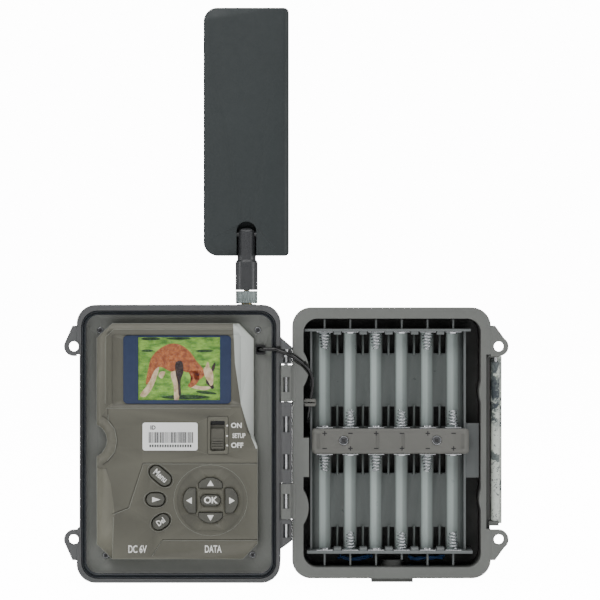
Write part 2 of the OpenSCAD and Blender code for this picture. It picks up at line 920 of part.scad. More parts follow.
module ir_leds() {
  color([0.3, 0.28, 0.35])
    for (i = [0:7], j = [0:3])
      if (!(i > 2 && i < 5 && j == 0)) {
        rod_y(-92 + 8.4 * i, 119.6 + 7.6 * j, 2.4, 32.65, 36.4);
        translate([-92 + 8.4 * i, y_rim + 36.2, 119.6 + 7.6 * j])
          sphere(2.3);
      }
}

module ir_window() {
  color([0.05, 0.04, 0.06])
    slab(front_depth - 1.58, front_depth + 0.6)
      rrect(-96.9, 114.6, -27.1, 147.4, 3.9);
}

module pir_lens() {
  color([0.85, 0.85, 0.82])
    difference() {
      union() {
        rod_y(lens_x, pir_z, 14.1, front_depth - 0.75, front_depth + 0.4);
        intersection() {
          translate([lens_x, y_rim + front_depth - 14.6, pir_z])
            sphere(18.6);
          rod_y(lens_x, pir_z, 11.8, front_depth - 0.5, front_depth + 8);
        }
      }
      translate([lens_x, y_rim + front_depth - 14.6, pir_z])
        sphere(17.6);
    }
}

module pir_sensor() {
  color([0.7, 0.7, 0.68]) {
    slab(24, 25.6)
      rrect(lens_x - 11, pir_z - 11, lens_x + 11, pir_z + 11, 1);
    rod_y(lens_x, pir_z, 4.6, 25.5, 30);
    rod_y(-84, 94, 1.4, 30, front_depth - 0.2);
    slab(28.4, 30.1)
      rrect(-88, 89, -80, 99, 0.6);
  }
}

module antenna_connector() {
  color([0.78, 0.66, 0.36])
    difference() {
      union() {
        rod_z(ant_x, ant_y, 3.15, 146, 166.4);
        rod_z(ant_x, ant_y, 4.6, 151, 153.6);
      }
      rod_z(ant_x, ant_y, 2.45, 160, 167);
    }
}

module cable_grommet() {
  color([0.07, 0.07, 0.07])
    difference() {
      slab(4.6, 9)
        rrect(-17.5, 131.4, -12.1, 136.9, 0.9);
      slab(4, 10)
        rrect(-17.0, 132.6, -13.0, 135.7, 0.8);
    }
}

function unit(v) = v / norm(v);

function path_pt(i) = [cable_pts[i][0], y_rim + cable_pts[i][1], cable_pts[i][2]];

function path_dir(i) = unit(path_pt(min(i + 1, len(cable_pts) - 1)) - path_pt(max(i - 1, 0)));

module power_cable() {
  n = len(cable_pts);
  m = 8;
  pts = [for (i = [0:n - 1], j = [0:m - 1])
    let (t = path_dir(i), u = unit(cross(t, [0.3, 1, 0.2])), v = cross(t, u), a = 360 * j / m)
      path_pt(i) + cable_r * (cos(a) * u + sin(a) * v)];
  sides = [for (i = [0:n - 2], j = [0:m - 1])
    [i * m + j, (i + 1) * m + j, (i + 1) * m + (j + 1) % m, i * m + (j + 1) % m]];
  caps = [[for (j = [0:m - 1]) j], [for (j = [0:m - 1]) (n - 1) * m + m - 1 - j]];
  color([0.03, 0.03, 0.03])
    polyhedron(points = pts, faces = concat(sides, caps), convexity = 6);
}

// ---- moving parts ----
module latch() {
  z1 = latch_z0 + latch_len;
  color([0.8, 0.82, 0.8])
    difference() {
      union() {
        rod_z(latch_x, latch_y, 2.5, latch_z0 + 3, z1 - 3);
        translate([latch_x - 2.2, latch_y, latch_z0])
          cube([3.5, 21.1, latch_len]);
        translate([latch_x - 2.2, latch_y + 16.9, latch_z0])
          cube([7.4, 4.2, latch_len]);
      }
      rod_z(latch_x, latch_y, 1 + run_gap, latch_z0 - 1, z1 + 1);
      for (z = [33.9, 131.0])
        translate([116, latch_y - 4, z - 1.6])
          cube([9, 8.2, 3.2]);
      for (k = [0:8])
        translate([latch_x - 2.6, latch_y + 12 + k, 61])
          cube([0.7, 0.5, 41]);
    }
}

module port_cover() {
  color([0.08, 0.08, 0.08])
    union() {
      rod_x(cover_x0, cover_x1, cover_d, cover_z, 0.9);
      box(cover_x0, cover_x1, 10.9, cover_d, 0.2, 2.0);
    }
}

module antenna_nut() {
  color([0.5, 0.53, 0.53])
    difference() {
      rod_z(ant_x, ant_y, nut_r, nut_z0, nut_z1);
      rod_z(ant_x, ant_y, nut_thread_r + run_gap, nut_z0 - 1, nut_thread_z1);
      rod_z(ant_x, ant_y, nut_collar_r, nut_z0 - 1, nut_z1 + 1);
      for (a = [0:15:345])
        translate([ant_x, ant_y, nut_z0 + 0.8])
          rotate([0, 0, a])
            translate([nut_r + 0.35, 0, 0])
              cylinder(r = knurl_r, h = nut_z1 - nut_z0 - 1.6);
    }
}

// plug of the antenna, turning inside the nut
module antenna_plug() {
  color([0.78, 0.66, 0.36])
    rod_z(ant_x, ant_y, plug_r, nut_z0 + 0.2, stem_z0);
}

module antenna_stem() {
  color([0.29, 0.29, 0.3])
    difference() {
      union() {
        rod_z(ant_x, ant_y, stem_r, stem_z0, 184.6);
        translate([ant_x, ant_y, 184.6])
          cylinder(r1 = stem_r, r2 = 5.6, h = 1.4);
        intersection() {
          rod_z(ant_x, y_rim + tilt_d + 1.5, 5.4, 180, 206);
          box(ant_x - 6, ant_x + 6, 5, tilt_d + 3.9, 180, 206);
          union() {
            rod_x(ant_x - 7, ant_x + 7, tilt_d, tilt_z, 3.9);
            box(ant_x - 7, ant_x + 7, tilt_d - 5, tilt_d + 5, 179, tilt_z);
          }
          union() {
            rod_y(ant_x, 199.4, 5.4, 5, 20);
            box(ant_x - 7, ant_x + 7, 5, 20, 179, 199.4);
          }
        }
      }
      rod_x(ant_x - 7, ant_x + 7, tilt_d, tilt_z, 1.51);
    }
}

module antenna_hinge_pin() {
  color([0.7, 0.7, 0.72])
    rod_x(ant_x - 10.6, ant_x + 10.6, tilt_d, tilt_z, 1.5);
}

module paddle_2d(g) {
  x0 = ant_x - paddle_w / 2 - 0.1 + g;
  x1 = x0 + paddle_w - 2 * g;
  z0 = paddle_z0 + g;
  z1 = paddle_z0 + paddle_h - g;
  difference() {
    translate([x0, z0])
      square([x1 - x0, z1 - z0]);
    for (c = [[x0, z0, 8, 1, 1], [x0, z1, 8, 1, -1], [x1, z0, 2.5, -1, 1], [x1, z1, 2.5, -1, -1]])
      difference() {
        translate([min(c[0], c[0] + c[3] * c[2]), min(c[1], c[1] + c[4] * c[2])])
          square([c[2], c[2]]);
        translate([c[0] + c[3] * c[2], c[1] + c[4] * c[2]])
          circle(c[2]);
      }
  }
}

module paddle_front() {
  color([0.22, 0.25, 0.26])
    difference() {
      slab(ant_d - paddle_t / 2, ant_d + paddle_t / 2 - 2.2)
        paddle_2d(0);
      slab(10.7, 30)
        rrect(-44.5, 213, -2, 328.5, 3);
      slab(0, 30)
        union() {
          translate([ant_x - 5.75, 180])
            square([11.5, 22.55]);
          translate([ant_x, 202.5])
            circle(5.8);
        }
      rod_x(ant_x - 10.9, ant_x + 10.9, tilt_d, tilt_z, 1.5 + run_gap);
      translate([ant_x + paddle_w / 2 - 3.4, ant_y - paddle_t / 2, 180])
        rotate([0, 0, 45])
          translate([0, -6, 0])
            cube([12, 6, 160]);
    }
}

module paddle_back() {
  color([0.22, 0.25, 0.26])
    slab(ant_d + paddle_t / 2 - 2.15, ant_d + paddle_t / 2)
      paddle_2d(0);
}

module radiator_board() {
  color([0.7, 0.55, 0.25])
    slab(14, 15)
      rrect(-42, 216, -5, 325, 1);
}

module key_cap(i) {
  slab(-panel_up - key_up, panel_t - panel_up + 0.4)
    key_2d(i, 0);
  slab(panel_t - panel_up + 0.15, panel_t - panel_up + 1.1)
    key_2d(i, i == 3 ? 0.8 : 0.6);
}

module menu_key() {
  color([0.13, 0.13, 0.13])
    key_cap(0);
}

module play_key() {
  color([0.13, 0.13, 0.13])
    key_cap(1);
}

module delete_key() {
  color([0.13, 0.13, 0.13])
    key_cap(2);
}

module ok_key() {
  color([0.13, 0.13, 0.13])
    key_cap(3);
}

module up_key() {
  color([0.13, 0.13, 0.13])
    key_cap(4);
}

module down_key() {
  color([0.13, 0.13, 0.13])
    key_cap(5);
}

module left_key() {
  color([0.13, 0.13, 0.13])
    key_cap(6);
}

module right_key() {
  color([0.13, 0.13, 0.13])
    key_cap(7);
}

module power_switch_knob() {
  color([0.3, 0.29, 0.27])
    union() {
      slab(-0.7, 1.6)
        rrect(-43.2, 76.9, -35.7, 88.9, 0.6);
      for (k = [0:3])
        box(-42.6, -36.3, -1.5, -0.6, 77.8 + 1.4 * k, 78.5 + 1.4 * k);
      box(-44.4, -34.5, 1.75, 2.5, 74.4, 91);
      box(-43, -36, 1.5, 1.8, 77, 88.8);
      box(-40.6, -38.2, 2.4, 4.3, 80.5, 84);
    }
}

rear_shell();
rear_back();
strap_rails();
bar_bosses();
rear_lugs();
battery_tray();
tray_upper_wall();
tray_lower_wall();
tray_left_wall();
tray_right_wall();
tray_bar();
bar_screws();
cell_springs();
cell_contacts();
battery_wires();
tripod_insert();
hinge_pin();
latch_pin();
cable_clip();
front_shell();
front_lugs();
gasket();
inner_frame();
frame_screws();
control_panel();
screen_window();
lcd_module();
switch_body();
tact_switches();
main_pcb();
modem_module();
sd_slot();
io_board();
dc_jack();
data_port();
id_label();
lens_barrel();
lens_window();
image_sensor();
ir_board();
ir_leds();
ir_window();
pir_lens();
pir_sensor();
antenna_connector();
cable_grommet();
power_cable();
latch();
port_cover();
antenna_nut();
antenna_plug();
antenna_stem();
antenna_hinge_pin();
paddle_front();
paddle_back();
radiator_board();
menu_key();
play_key();
delete_key();
ok_key();
up_key();
down_key();
left_key();
right_key();
power_switch_knob();
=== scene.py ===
"""A trail camera opened like a book, seen straight into both halves."""
import math
import random

import bmesh
import bpy
from mathutils import Matrix, Vector


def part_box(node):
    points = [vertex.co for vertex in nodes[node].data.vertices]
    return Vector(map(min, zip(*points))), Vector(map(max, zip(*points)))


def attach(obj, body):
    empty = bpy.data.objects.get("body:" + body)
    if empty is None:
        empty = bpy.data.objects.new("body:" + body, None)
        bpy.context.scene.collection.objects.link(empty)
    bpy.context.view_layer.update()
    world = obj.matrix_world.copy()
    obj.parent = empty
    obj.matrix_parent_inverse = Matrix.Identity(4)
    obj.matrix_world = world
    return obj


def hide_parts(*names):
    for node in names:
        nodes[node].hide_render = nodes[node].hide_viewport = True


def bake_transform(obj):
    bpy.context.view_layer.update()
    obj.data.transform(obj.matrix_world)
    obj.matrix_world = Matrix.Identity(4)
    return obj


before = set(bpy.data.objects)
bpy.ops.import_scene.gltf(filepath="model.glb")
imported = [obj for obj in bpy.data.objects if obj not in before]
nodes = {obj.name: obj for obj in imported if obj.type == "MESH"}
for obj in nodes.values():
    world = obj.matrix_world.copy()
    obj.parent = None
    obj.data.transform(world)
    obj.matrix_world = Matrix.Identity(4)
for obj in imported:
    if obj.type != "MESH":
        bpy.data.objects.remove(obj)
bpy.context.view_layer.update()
random.seed(7)

MM = 0.001
Y_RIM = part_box("gasket")[0].y - 0.3 * MM
CELL_PITCH = 14.85
FIRST_COLUMN = 22.1
COLUMNS = [FIRST_COLUMN + CELL_PITCH * k for k in range(6)]
CELL_AXIS_D = 8.5
WHITE_GLOW = 14.0


def deep(d):
    """The y of a point d millimetres behind the rim."""
    return Y_RIM + d * MM


# ---- camera, lights and floor ----
def build_camera():
    sensor = 36
    field = 0.345
    centre_x = 0.0079
    centre_z = 0.1628
    data = bpy.data.cameras.new("camera")
    data.lens = 150
    data.sensor_width = sensor
    data.clip_start = 0.05
    data.clip_end = 50
    camera = bpy.data.objects.new("camera", data)
    bpy.context.scene.collection.objects.link(camera)
    distance = field / sensor * data.lens
    camera.location = (centre_x, Y_RIM - distance, centre_z)
    camera.rotation_euler = (math.pi / 2, 0, 0)
    bpy.context.scene.camera = camera


def area_light(name, place, target, size, power, colour=(1, 1, 1)):
    data = bpy.data.lights.new(name, "AREA")
    data.shape = "RECTANGLE"
    data.size = size[0]
    data.size_y = size[1]
    data.energy = power
    data.color = colour
    lamp = bpy.data.objects.new(name, data)
    bpy.context.scene.collection.objects.link(lamp)
    lamp.location = place
    direction = Vector(target) - Vector(place)
    lamp.rotation_euler = direction.to_track_quat("-Z", "Y").to_euler()
    return lamp


def build_lights():
    world = bpy.data.worlds.new("studio")
    bpy.context.scene.world = world
    world.use_nodes = True
    background = world.node_tree.nodes["Background"]
    background.inputs["Color"].default_value = (1, 1, 1, 1)
    path = world.node_tree.nodes.new("ShaderNodeLightPath")
    glow = world.node_tree.nodes.new("ShaderNodeMapRange")
    glow.inputs["To Min"].default_value = 0.3
    glow.inputs["To Max"].default_value = WHITE_GLOW
    world.node_tree.links.new(path.outputs["Is Camera Ray"], glow.inputs["Value"])
    world.node_tree.links.new(glow.outputs["Result"], background.inputs["Strength"])
    area_light("key", (-0.35, -0.9, 0.95), (0, 0, 0.12), (0.8, 0.5), 6.5)
    area_light("top", (0.0, -0.12, 1.15), (0, 0, 0.1), (1.3, 0.5), 7)
    area_light("left_strip", (-0.95, -0.25, 0.3), (0, 0, 0.1), (0.25, 1.0), 2.4)
    area_light("back", (0.3, 1.1, 0.9), (0, 0, 0.1), (0.9, 0.9), 7)
    area_light("right_strip", (0.95, -0.3, 0.3), (0.05, 0, 0.1), (0.25, 1.0), 3.2)


def build_floor():
    bm = bmesh.new()
    half = 6.0
    level = -0.0001
    corners = [(-half, -half), (half, -half), (half, half), (-half, half)]
    bm.faces.new([bm.verts.new((x, y, level)) for x, y in corners])
    mesh = bpy.data.meshes.new("floor")
    bm.to_mesh(mesh)
    bm.free()
    floor = bpy.data.objects.new("studio_floor", mesh)
    bpy.context.scene.collection.objects.link(floor)
    material = bpy.data.materials.new("studio_white")
    material.use_nodes = True
    tree = material.node_tree
    shader = tree.nodes["Principled BSDF"]
    shader.inputs["Base Color"].default_value = (0.9, 0.9, 0.9, 1)
    shader.inputs["Roughness"].default_value = 0.8
    shader.inputs["Emission Color"].default_value = (1, 1, 1, 1)
    path = tree.nodes.new("ShaderNodeLightPath")
    glow = tree.nodes.new("ShaderNodeMapRange")
    glow.inputs["To Min"].default_value = 0.4
    glow.inputs["To Max"].default_value = WHITE_GLOW
    tree.links.new(path.outputs["Is Camera Ray"], glow.inputs["Value"])
    tree.links.new(glow.outputs["Result"], shader.inputs["Emission Strength"])
    mesh.materials.append(material)


# ---- materials ----
def linear(colour):
    """An sRGB colour, 0 to 255, as linear RGBA."""
    out = []
    for c in colour:
        c /= 255
        out.append(c / 12.92 if c <= 0.04045 else ((c + 0.055) / 1.055) ** 2.4)
    return (*out, 1)


def new_material(name):
    material = bpy.data.materials.new(name)
    material.use_nodes = True
    tree = material.node_tree
    return material, tree, tree.nodes["Principled BSDF"]


def object_coords(tree):
    return tree.nodes.new("ShaderNodeTexCoord").outputs["Object"]


def noise(tree, scale, detail=3.0, roughness=0.55, coords=None):
    made = tree.nodes.new("ShaderNodeTexNoise")
    made.inputs["Scale"].default_value = scale
    made.inputs["Detail"].default_value = detail
    made.inputs["Roughness"].default_value = roughness
    tree.links.new(coords or object_coords(tree), made.inputs["Vector"])
    return made


def ramp(tree, source, stops):
    made = tree.nodes.new("ShaderNodeValToRGB")
    elements = made.color_ramp.elements
    while len(elements) < len(stops):
        elements.new(0.5)
    for element, (place, colour) in zip(elements, stops):
        element.position = place
        element.color = colour
    tree.links.new(source, made.inputs["Fac"])
    return made


def shade(colour, factor):
    return (*[min(1, c * factor) for c in colour[:3]], 1)


def bump(tree, shader, source, strength, distance):
    made = tree.nodes.new("ShaderNodeBump")
    made.inputs["Strength"].default_value = strength
    made.inputs["Distance"].default_value = distance
    tree.links.new(source, made.inputs["Height"])
    tree.links.new(made.outputs["Normal"], shader.inputs["Normal"])
    return made


def moulded(name, colour, rough=0.55, grain=2600, grain_depth=0.00006, edge_wear_and_glint=0.12, coat=0.0):
    """Moulded plastic: fine spark-eroded grain, faint colour drift and sharp edges painted paler, partly
    rubbed wear and partly painted highlight.
    """
    material, tree, shader = new_material(name)
    base = linear(colour)
    drift = noise(tree, 22, 4.0)
    tone = ramp(tree, drift.outputs["Fac"], [(0.3, shade(base, 0.92)), (0.7, shade(base, 1.08))])
    geometry = tree.nodes.new("ShaderNodeNewGeometry")
    # Edge paling from pointiness: partly rubbed wear, partly a painted highlight on sharp edges.
    edge = ramp(tree, geometry.outputs["Pointiness"], [(0.51, (0, 0, 0, 1)), (0.58, (edge_wear_and_glint,) * 3 + (1,))])
    mix = tree.nodes.new("ShaderNodeMix")
    mix.data_type = "RGBA"
    tree.links.new(edge.outputs["Color"], mix.inputs["Factor"])
    tree.links.new(tone.outputs["Color"], mix.inputs["A"])
    mix.inputs["B"].default_value = shade(base, 2.2)
    tree.links.new(mix.outputs["Result"], shader.inputs["Base Color"])
    gloss = noise(tree, 160, 3.0)
    level = ramp(tree, gloss.outputs["Fac"],
                 [(0.3, (rough - 0.07,) * 3 + (1,)), (0.7, (rough + 0.07,) * 3 + (1,))])
    tree.links.new(level.outputs["Color"], shader.inputs["Roughness"])
    fine = noise(tree, grain, 2.0, 0.6)
    bump(tree, shader, fine.outputs["Fac"], 0.35, grain_depth)
    shader.inputs["Specular IOR Level"].default_value = 0.45
    shader.inputs["Coat Weight"].default_value = coat
    return material


def base_colour_input(material):
    """The socket feeding the base colour of a material made here."""
    shader = material.node_tree.nodes["Principled BSDF"]
    return shader.inputs["Base Color"], shader.inputs["Base Color"].links[0].from_socket


def multiply_base(material, factor_socket):
    tree = material.node_tree
    target, source = base_colour_input(material)
    mix = tree.nodes.new("ShaderNodeMix")
    mix.data_type = "RGBA"
    mix.blend_type = "MULTIPLY"
    mix.inputs["Factor"].default_value = 1.0
    tree.links.new(source, mix.inputs["A"])
    tree.links.new(factor_socket, mix.inputs["B"])
    tree.links.new(mix.outputs["Result"], target)


def map_range(tree, source, low, high, out_low, out_high):
    made = tree.nodes.new("ShaderNodeMapRange")
    values = {"From Min": low, "From Max": high, "To Min": out_low, "To Max": out_high}
    for key, value in values.items():
        made.inputs[key].default_value = value
    tree.links.new(source, made.inputs["Value"])
    return made.outputs["Result"]


def grey(value):
    return (value, value, value, 1)


def painted_depth_shade(material, from_d, to_d, darkest):
    """The plastic is painted darker with depth inside the case: painted shade for the deep cavity."""
    tree = material.node_tree
    split = tree.nodes.new("ShaderNodeSeparateXYZ")
    tree.links.new(object_coords(tree), split.inputs["Vector"])
    depth = map_range(tree, split.outputs["Y"], deep(from_d), deep(to_d), 0.0, 1.0)
    # Painted shade: the deeper the surface lies behind the rim, the darker it is painted.
    tone = ramp(tree, depth, [(0.0, grey(1.0)), (1.0, grey(darkest))])
    multiply_base(material, tone.outputs["Color"])
    return material


def painted_trough_light(material):
    """Painted light on the tray floor: a painted highlight in each trough, brightest left of middle, with
    painted shade lines at its edges and darker pads between.
    """
    tree = material.node_tree
    split = tree.nodes.new("ShaderNodeSeparateXYZ")
    tree.links.new(object_coords(tree), split.inputs["Vector"])
    columns = (COLUMNS[5] - COLUMNS[0]) / 5 * MM
    start = (COLUMNS[0] - CELL_PITCH / 2) * MM
    phase = tree.nodes.new("ShaderNodeMath")
    phase.operation = "FRACT"
    cycle = map_range(tree, split.outputs["X"], start, start + columns, 0.0, 1.0)
    cycle.node.clamp = False
    tree.links.new(cycle, phase.inputs[0])
    # Painted light: the bright trough middles are painted highlight, the dark edge lines and pads painted
    # shade.
    tones = [(0.0, 0.42), (0.25, 0.42), (0.27, 0.3), (0.3, 1.2), (0.36, 2.1), (0.5, 2.2), (0.58, 1.25),
             (0.7, 0.75), (0.735, 0.35), (0.76, 0.42), (1.0, 0.42)]
    band = ramp(tree, phase.outputs["Value"], [(place, grey(tone)) for place, tone in tones])
    multiply_base(material, band.outputs["Color"])
    return material


def painted_facet_highlights(material):
    """Matt moulded panel with its two satin facets painted paler along both long edges: a painted highlight
    where they slope to the light.
    """
    tree = material.node_tree
    split = tree.nodes.new("ShaderNodeSeparateXYZ")
    tree.links.new(object_coords(tree), split.inputs["Vector"])
    masks = []
    for side, profile in FACETS:
        edge = tree.nodes.new("ShaderNodeFloatCurve")
        curve = edge.mapping.curves[0]
        curve.points[0].location = profile[0]
        curve.points[1].location = profile[-1]
        for z, x in profile[1:-1]:
            curve.points.new(z, x)
        for point in curve.points:
            point.handle_type = "VECTOR"
        edge.mapping.update()
        height = map_range(tree, split.outputs["Z"], 0.0, 0.16, 0.0, 1.0)
        tree.links.new(height, edge.inputs["Value"])
        across = map_range(tree, split.outputs["X"], -0.12, 0.0, 0.0, 1.0)
        test = tree.nodes.new("ShaderNodeMath")
        test.operation = side
        tree.links.new(across, test.inputs[0])
        tree.links.new(edge.outputs["Value"], test.inputs[1])
        masks.append(test.outputs["Value"])
    # Painted highlight: the right facet is brightened strongly and bluish, the left one a little.
    right_facet_highlight = ramp(tree, masks[0], [(0.0, grey(1.0)), (1.0, (4.4, 4.8, 5.8, 1))])
    multiply_base(material, right_facet_highlight.outputs["Color"])
    left_facet_highlight = ramp(tree, masks[1], [(0.0, grey(1.0)), (1.0, grey(1.5))])
    multiply_base(material, left_facet_highlight.outputs["Color"])
    return material


def facet_profile(points):
    """Edge points (z, x) in millimetres as curve points from 0 to 1."""
    return [(z / 160, (x + 120) / 120) for z, x in points]


FACETS = [
    ("GREATER_THAN", facet_profile([(0, 0), (76, 0), (77.1, -17.4), (88, -21.7), (102.8, -26.1),
                                    (126.6, -29.5), (149, -30.5), (160, -30.5)])),
    ("LESS_THAN", facet_profile([(0, -99.8), (14, -99.8), (39.5, -98.7), (46, -99.2), (57.2, -100.9),
                                 (66, -103.7), (67, -120), (160, -120)])),
]


def rubbery(name, colour, rough=0.62, sheen=0.08):
    """Silicone or insulation: satin, with dust and a slight waviness."""
    material, tree, shader = new_material(name)
    base = linear(colour)
    dust = noise(tree, 90, 5.0)
    tone = ramp(tree, dust.outputs["Fac"], [(0.35, shade(base, 0.85)), (0.75, shade(base, 1.35))])
    tree.links.new(tone.outputs["Color"], shader.inputs["Base Color"])
    shader.inputs["Roughness"].default_value = rough
    shader.inputs["Sheen Weight"].default_value = sheen
    wave = noise(tree, 700, 2.0)
    bump(tree, shader, wave.outputs["Fac"], 0.25, 0.00008)
    return material


def metal(name, colour, rough=0.28, stretch=(1, 1, 1), streaks=420):
    """Turned, stamped or plated metal with fine streaks along its working direction."""
    material, tree, shader = new_material(name)
    base = linear(colour)
    mapping = tree.nodes.new("ShaderNodeMapping")
    mapping.inputs["Scale"].default_value = stretch
    tree.links.new(object_coords(tree), mapping.inputs["Vector"])
    lines = noise(tree, streaks, 3.0, 0.6, mapping.outputs["Vector"])
    tone = ramp(tree, lines.outputs["Fac"], [(0.3, shade(base, 0.85)), (0.7, shade(base, 1.1))])
    tree.links.new(tone.outputs["Color"], shader.inputs["Base Color"])
    level = ramp(tree, lines.outputs["Fac"],
                 [(0.3, (rough - 0.08,) * 3 + (1,)), (0.7, (rough + 0.1,) * 3 + (1,))])
    tree.links.new(level.outputs["Color"], shader.inputs["Roughness"])
    shader.inputs["Metallic"].default_value = 1.0
    bump(tree, shader, lines.outputs["Fac"], 0.15, 0.00003)
    return material


def camo_colour(tree, pale, dark, green, grey_tone):
    """Film-dipped camouflage: pale bark, slate patches, grey-green smears and dark specks."""
    coords = object_coords(tree)
    warp = noise(tree, 60, 4.0, 0.6, coords)
    add = tree.nodes.new("ShaderNodeMix")
    add.data_type = "VECTOR"
    add.inputs["Factor"].default_value = 0.035
    tree.links.new(coords, add.inputs["A"])
    tree.links.new(warp.outputs["Color"], add.inputs["B"])
    warped = add.outputs["Result"]
    mapping = tree.nodes.new("ShaderNodeMapping")
    mapping.inputs["Scale"].default_value = (1, 1, 0.45)
    tree.links.new(warped, mapping.inputs["Vector"])
    bark = noise(tree, 130, 6.0, 0.65, mapping.outputs["Vector"])
    ground = ramp(tree, bark.outputs["Fac"],
                  [(0.36, linear(grey_tone)), (0.47, linear(pale)), (0.58, shade(linear(pale), 1.1)),
                   (0.66, linear(green))])
    patch = noise(tree, 42, 5.0, 0.7, warped)
    mask = ramp(tree, patch.outputs["Fac"], [(0.53, grey(0)), (0.56, grey(1))])
    slate = ramp(tree, bark.outputs["Fac"], [(0.42, linear(dark)), (0.6, shade(linear(grey_tone), 0.9))])
    patched = mix_colours(tree, mask.outputs["Color"], ground.outputs["Color"], slate.outputs["Color"])
    specks = tree.nodes.new("ShaderNodeTexVoronoi")
    specks.inputs["Scale"].default_value = 420
    tree.links.new(warped, specks.inputs["Vector"])
    dots = ramp(tree, specks.outputs["Distance"], [(0.2, grey(1)), (0.3, grey(0))])
    rare = noise(tree, 55, 3.0, 0.6, coords)
    where = ramp(tree, rare.outputs["Fac"], [(0.5, grey(0)), (0.58, grey(1))])
    both = maths(tree, "MULTIPLY", dots.outputs["Color"], where.outputs["Color"])
    spots = tree.nodes.new("ShaderNodeRGB")
    spots.outputs["Color"].default_value = linear(dark)
    return mix_colours(tree, both, patched, spots.outputs["Color"])


def mix_colours(tree, factor, first, second):
    mix = tree.nodes.new("ShaderNodeMix")
    mix.data_type = "RGBA"
    tree.links.new(factor, mix.inputs["Factor"])
    tree.links.new(first, mix.inputs["A"])
    tree.links.new(second, mix.inputs["B"])
    return mix.outputs["Result"]


def maths(tree, operation, first, second):
    made = tree.nodes.new("ShaderNodeMath")
    made.operation = operation
    for socket, value in zip(made.inputs, (first, second)):
        if isinstance(value, (int, float)):
            socket.default_value = value
        else:
            tree.links.new(value, socket)
    return made.outputs["Value"]


CAMO_TONES = ((190, 196, 188), (44, 52, 60), (146, 158, 138), (110, 118, 116))


def camouflage(name):
    material = moulded(name, (128, 128, 128), 0.5)
    tree = material.node_tree
    target = base_colour_input(material)[0]
    tree.links.new(camo_colour(tree, *CAMO_TONES), target)
    return material


def dipped_outside(material, sides, depths):
    """Camouflage film on the outer faces; the rim, the inside and raised bezels stay bare plastic."""
    tree = material.node_tree
    split = tree.nodes.new("ShaderNodeSeparateXYZ")
    tree.links.new(object_coords(tree), split.inputs["Vector"])
    x, y, z = (split.outputs[k] for k in "XYZ")
    x0, x1, z0, z1 = sides
    from_d, back_d, raised_d = depths
    outer = maths(tree, "LESS_THAN", x, x0 * MM)
    outer = maths(tree, "MAXIMUM", outer, maths(tree, "GREATER_THAN", x, x1 * MM))
    outer = maths(tree, "MAXIMUM", outer, maths(tree, "LESS_THAN", z, z0 * MM))
    outer = maths(tree, "MAXIMUM", outer, maths(tree, "GREATER_THAN", z, z1 * MM))
    outer = maths(tree, "MULTIPLY", outer, maths(tree, "GREATER_THAN", y, deep(from_d)))
    outer = maths(tree, "MAXIMUM", outer, maths(tree, "GREATER_THAN", y, deep(back_d)))
    outer = maths(tree, "MULTIPLY", outer, maths(tree, "LESS_THAN", y, deep(raised_d)))
    target, source = base_colour_input(material)
    tree.links.new(mix_colours(tree, outer, source, camo_colour(tree, *CAMO_TONES)), target)
    return material


def board_green(name):
    """Solder mask over copper: tracks show as a slightly paler net."""
    material, tree, shader = new_material(name)
    coords = object_coords(tree)
    cells = tree.nodes.new("ShaderNodeTexVoronoi")
    cells.feature = "DISTANCE_TO_EDGE"
    cells.distance = "EUCLIDEAN"
    cells.inputs["Scale"].default_value = 260
    tree.links.new(coords, cells.inputs["Vector"])
    tone = ramp(tree, cells.outputs["Distance"],
                [(0.02, linear((52, 122, 70))), (0.07, linear((16, 74, 38)))])
    tree.links.new(tone.outputs["Color"], shader.inputs["Base Color"])
    shader.inputs["Roughness"].default_value = 0.32
    bump(tree, shader, cells.outputs["Distance"], 0.2, 0.00004)
    return material


def window_glass(name, tint, alpha_clear, bounds_m):
    """Screen cover: printed border outside bounds_m (x0, x1, z0, z1), clear within it."""
    material, tree, shader = new_material(name)
    split = tree.nodes.new("ShaderNodeSeparateXYZ")
    tree.links.new(object_coords(tree), split.inputs["Vector"])
    x0, x1, z0, z1 = bounds_m

    def step(socket, operation, value):
        made = tree.nodes.new("ShaderNodeMath")
        made.operation = operation
        made.inputs[1].default_value = value
        tree.links.new(socket, made.inputs[0])
        return made.outputs["Value"]

    parts = [step(split.outputs["X"], "GREATER_THAN", x0), step(split.outputs["X"], "LESS_THAN", x1),
             step(split.outputs["Z"], "GREATER_THAN", z0), step(split.outputs["Z"], "LESS_THAN", z1)]
    inside = parts[0]
    for part in parts[1:]:
        both = tree.nodes.new("ShaderNodeMath")
        both.operation = "MULTIPLY"
        tree.links.new(inside, both.inputs[0])
        tree.links.new(part, both.inputs[1])
        inside = both.outputs["Value"]
    haze = noise(tree, 70, 4.0)
    tone = ramp(tree, haze.outputs["Fac"], [(0.3, shade(linear(tint), 0.9)), (0.7, shade(linear(tint), 1.1))])
    tree.links.new(tone.outputs["Color"], shader.inputs["Base Color"])
    alpha = tree.nodes.new("ShaderNodeMapRange")
    alpha.inputs["To Min"].default_value = 1.0
    alpha.inputs["To Max"].default_value = alpha_clear
    tree.links.new(inside, alpha.inputs["Value"])
    tree.links.new(alpha.outputs["Result"], shader.inputs["Alpha"])
    shader.inputs["Roughness"].default_value = 0.12
    shader.inputs["Specular IOR Level"].default_value = 0.35
    return material


def lens_glass(name, tint):
    material, tree, shader = new_material(name)
    haze = noise(tree, 90, 3.0)
    tone = ramp(tree, haze.outputs["Fac"], [(0.3, shade(linear(tint), 0.7)), (0.7, linear(tint))])
    tree.links.new(tone.outputs["Color"], shader.inputs["Base Color"])
    shader.inputs["Roughness"].default_value = 0.04
    shader.inputs["Coat Weight"].default_value = 0.25
    shader.inputs["Coat Tint"].default_value = (0.7, 0.75, 1.0, 1)
    return material


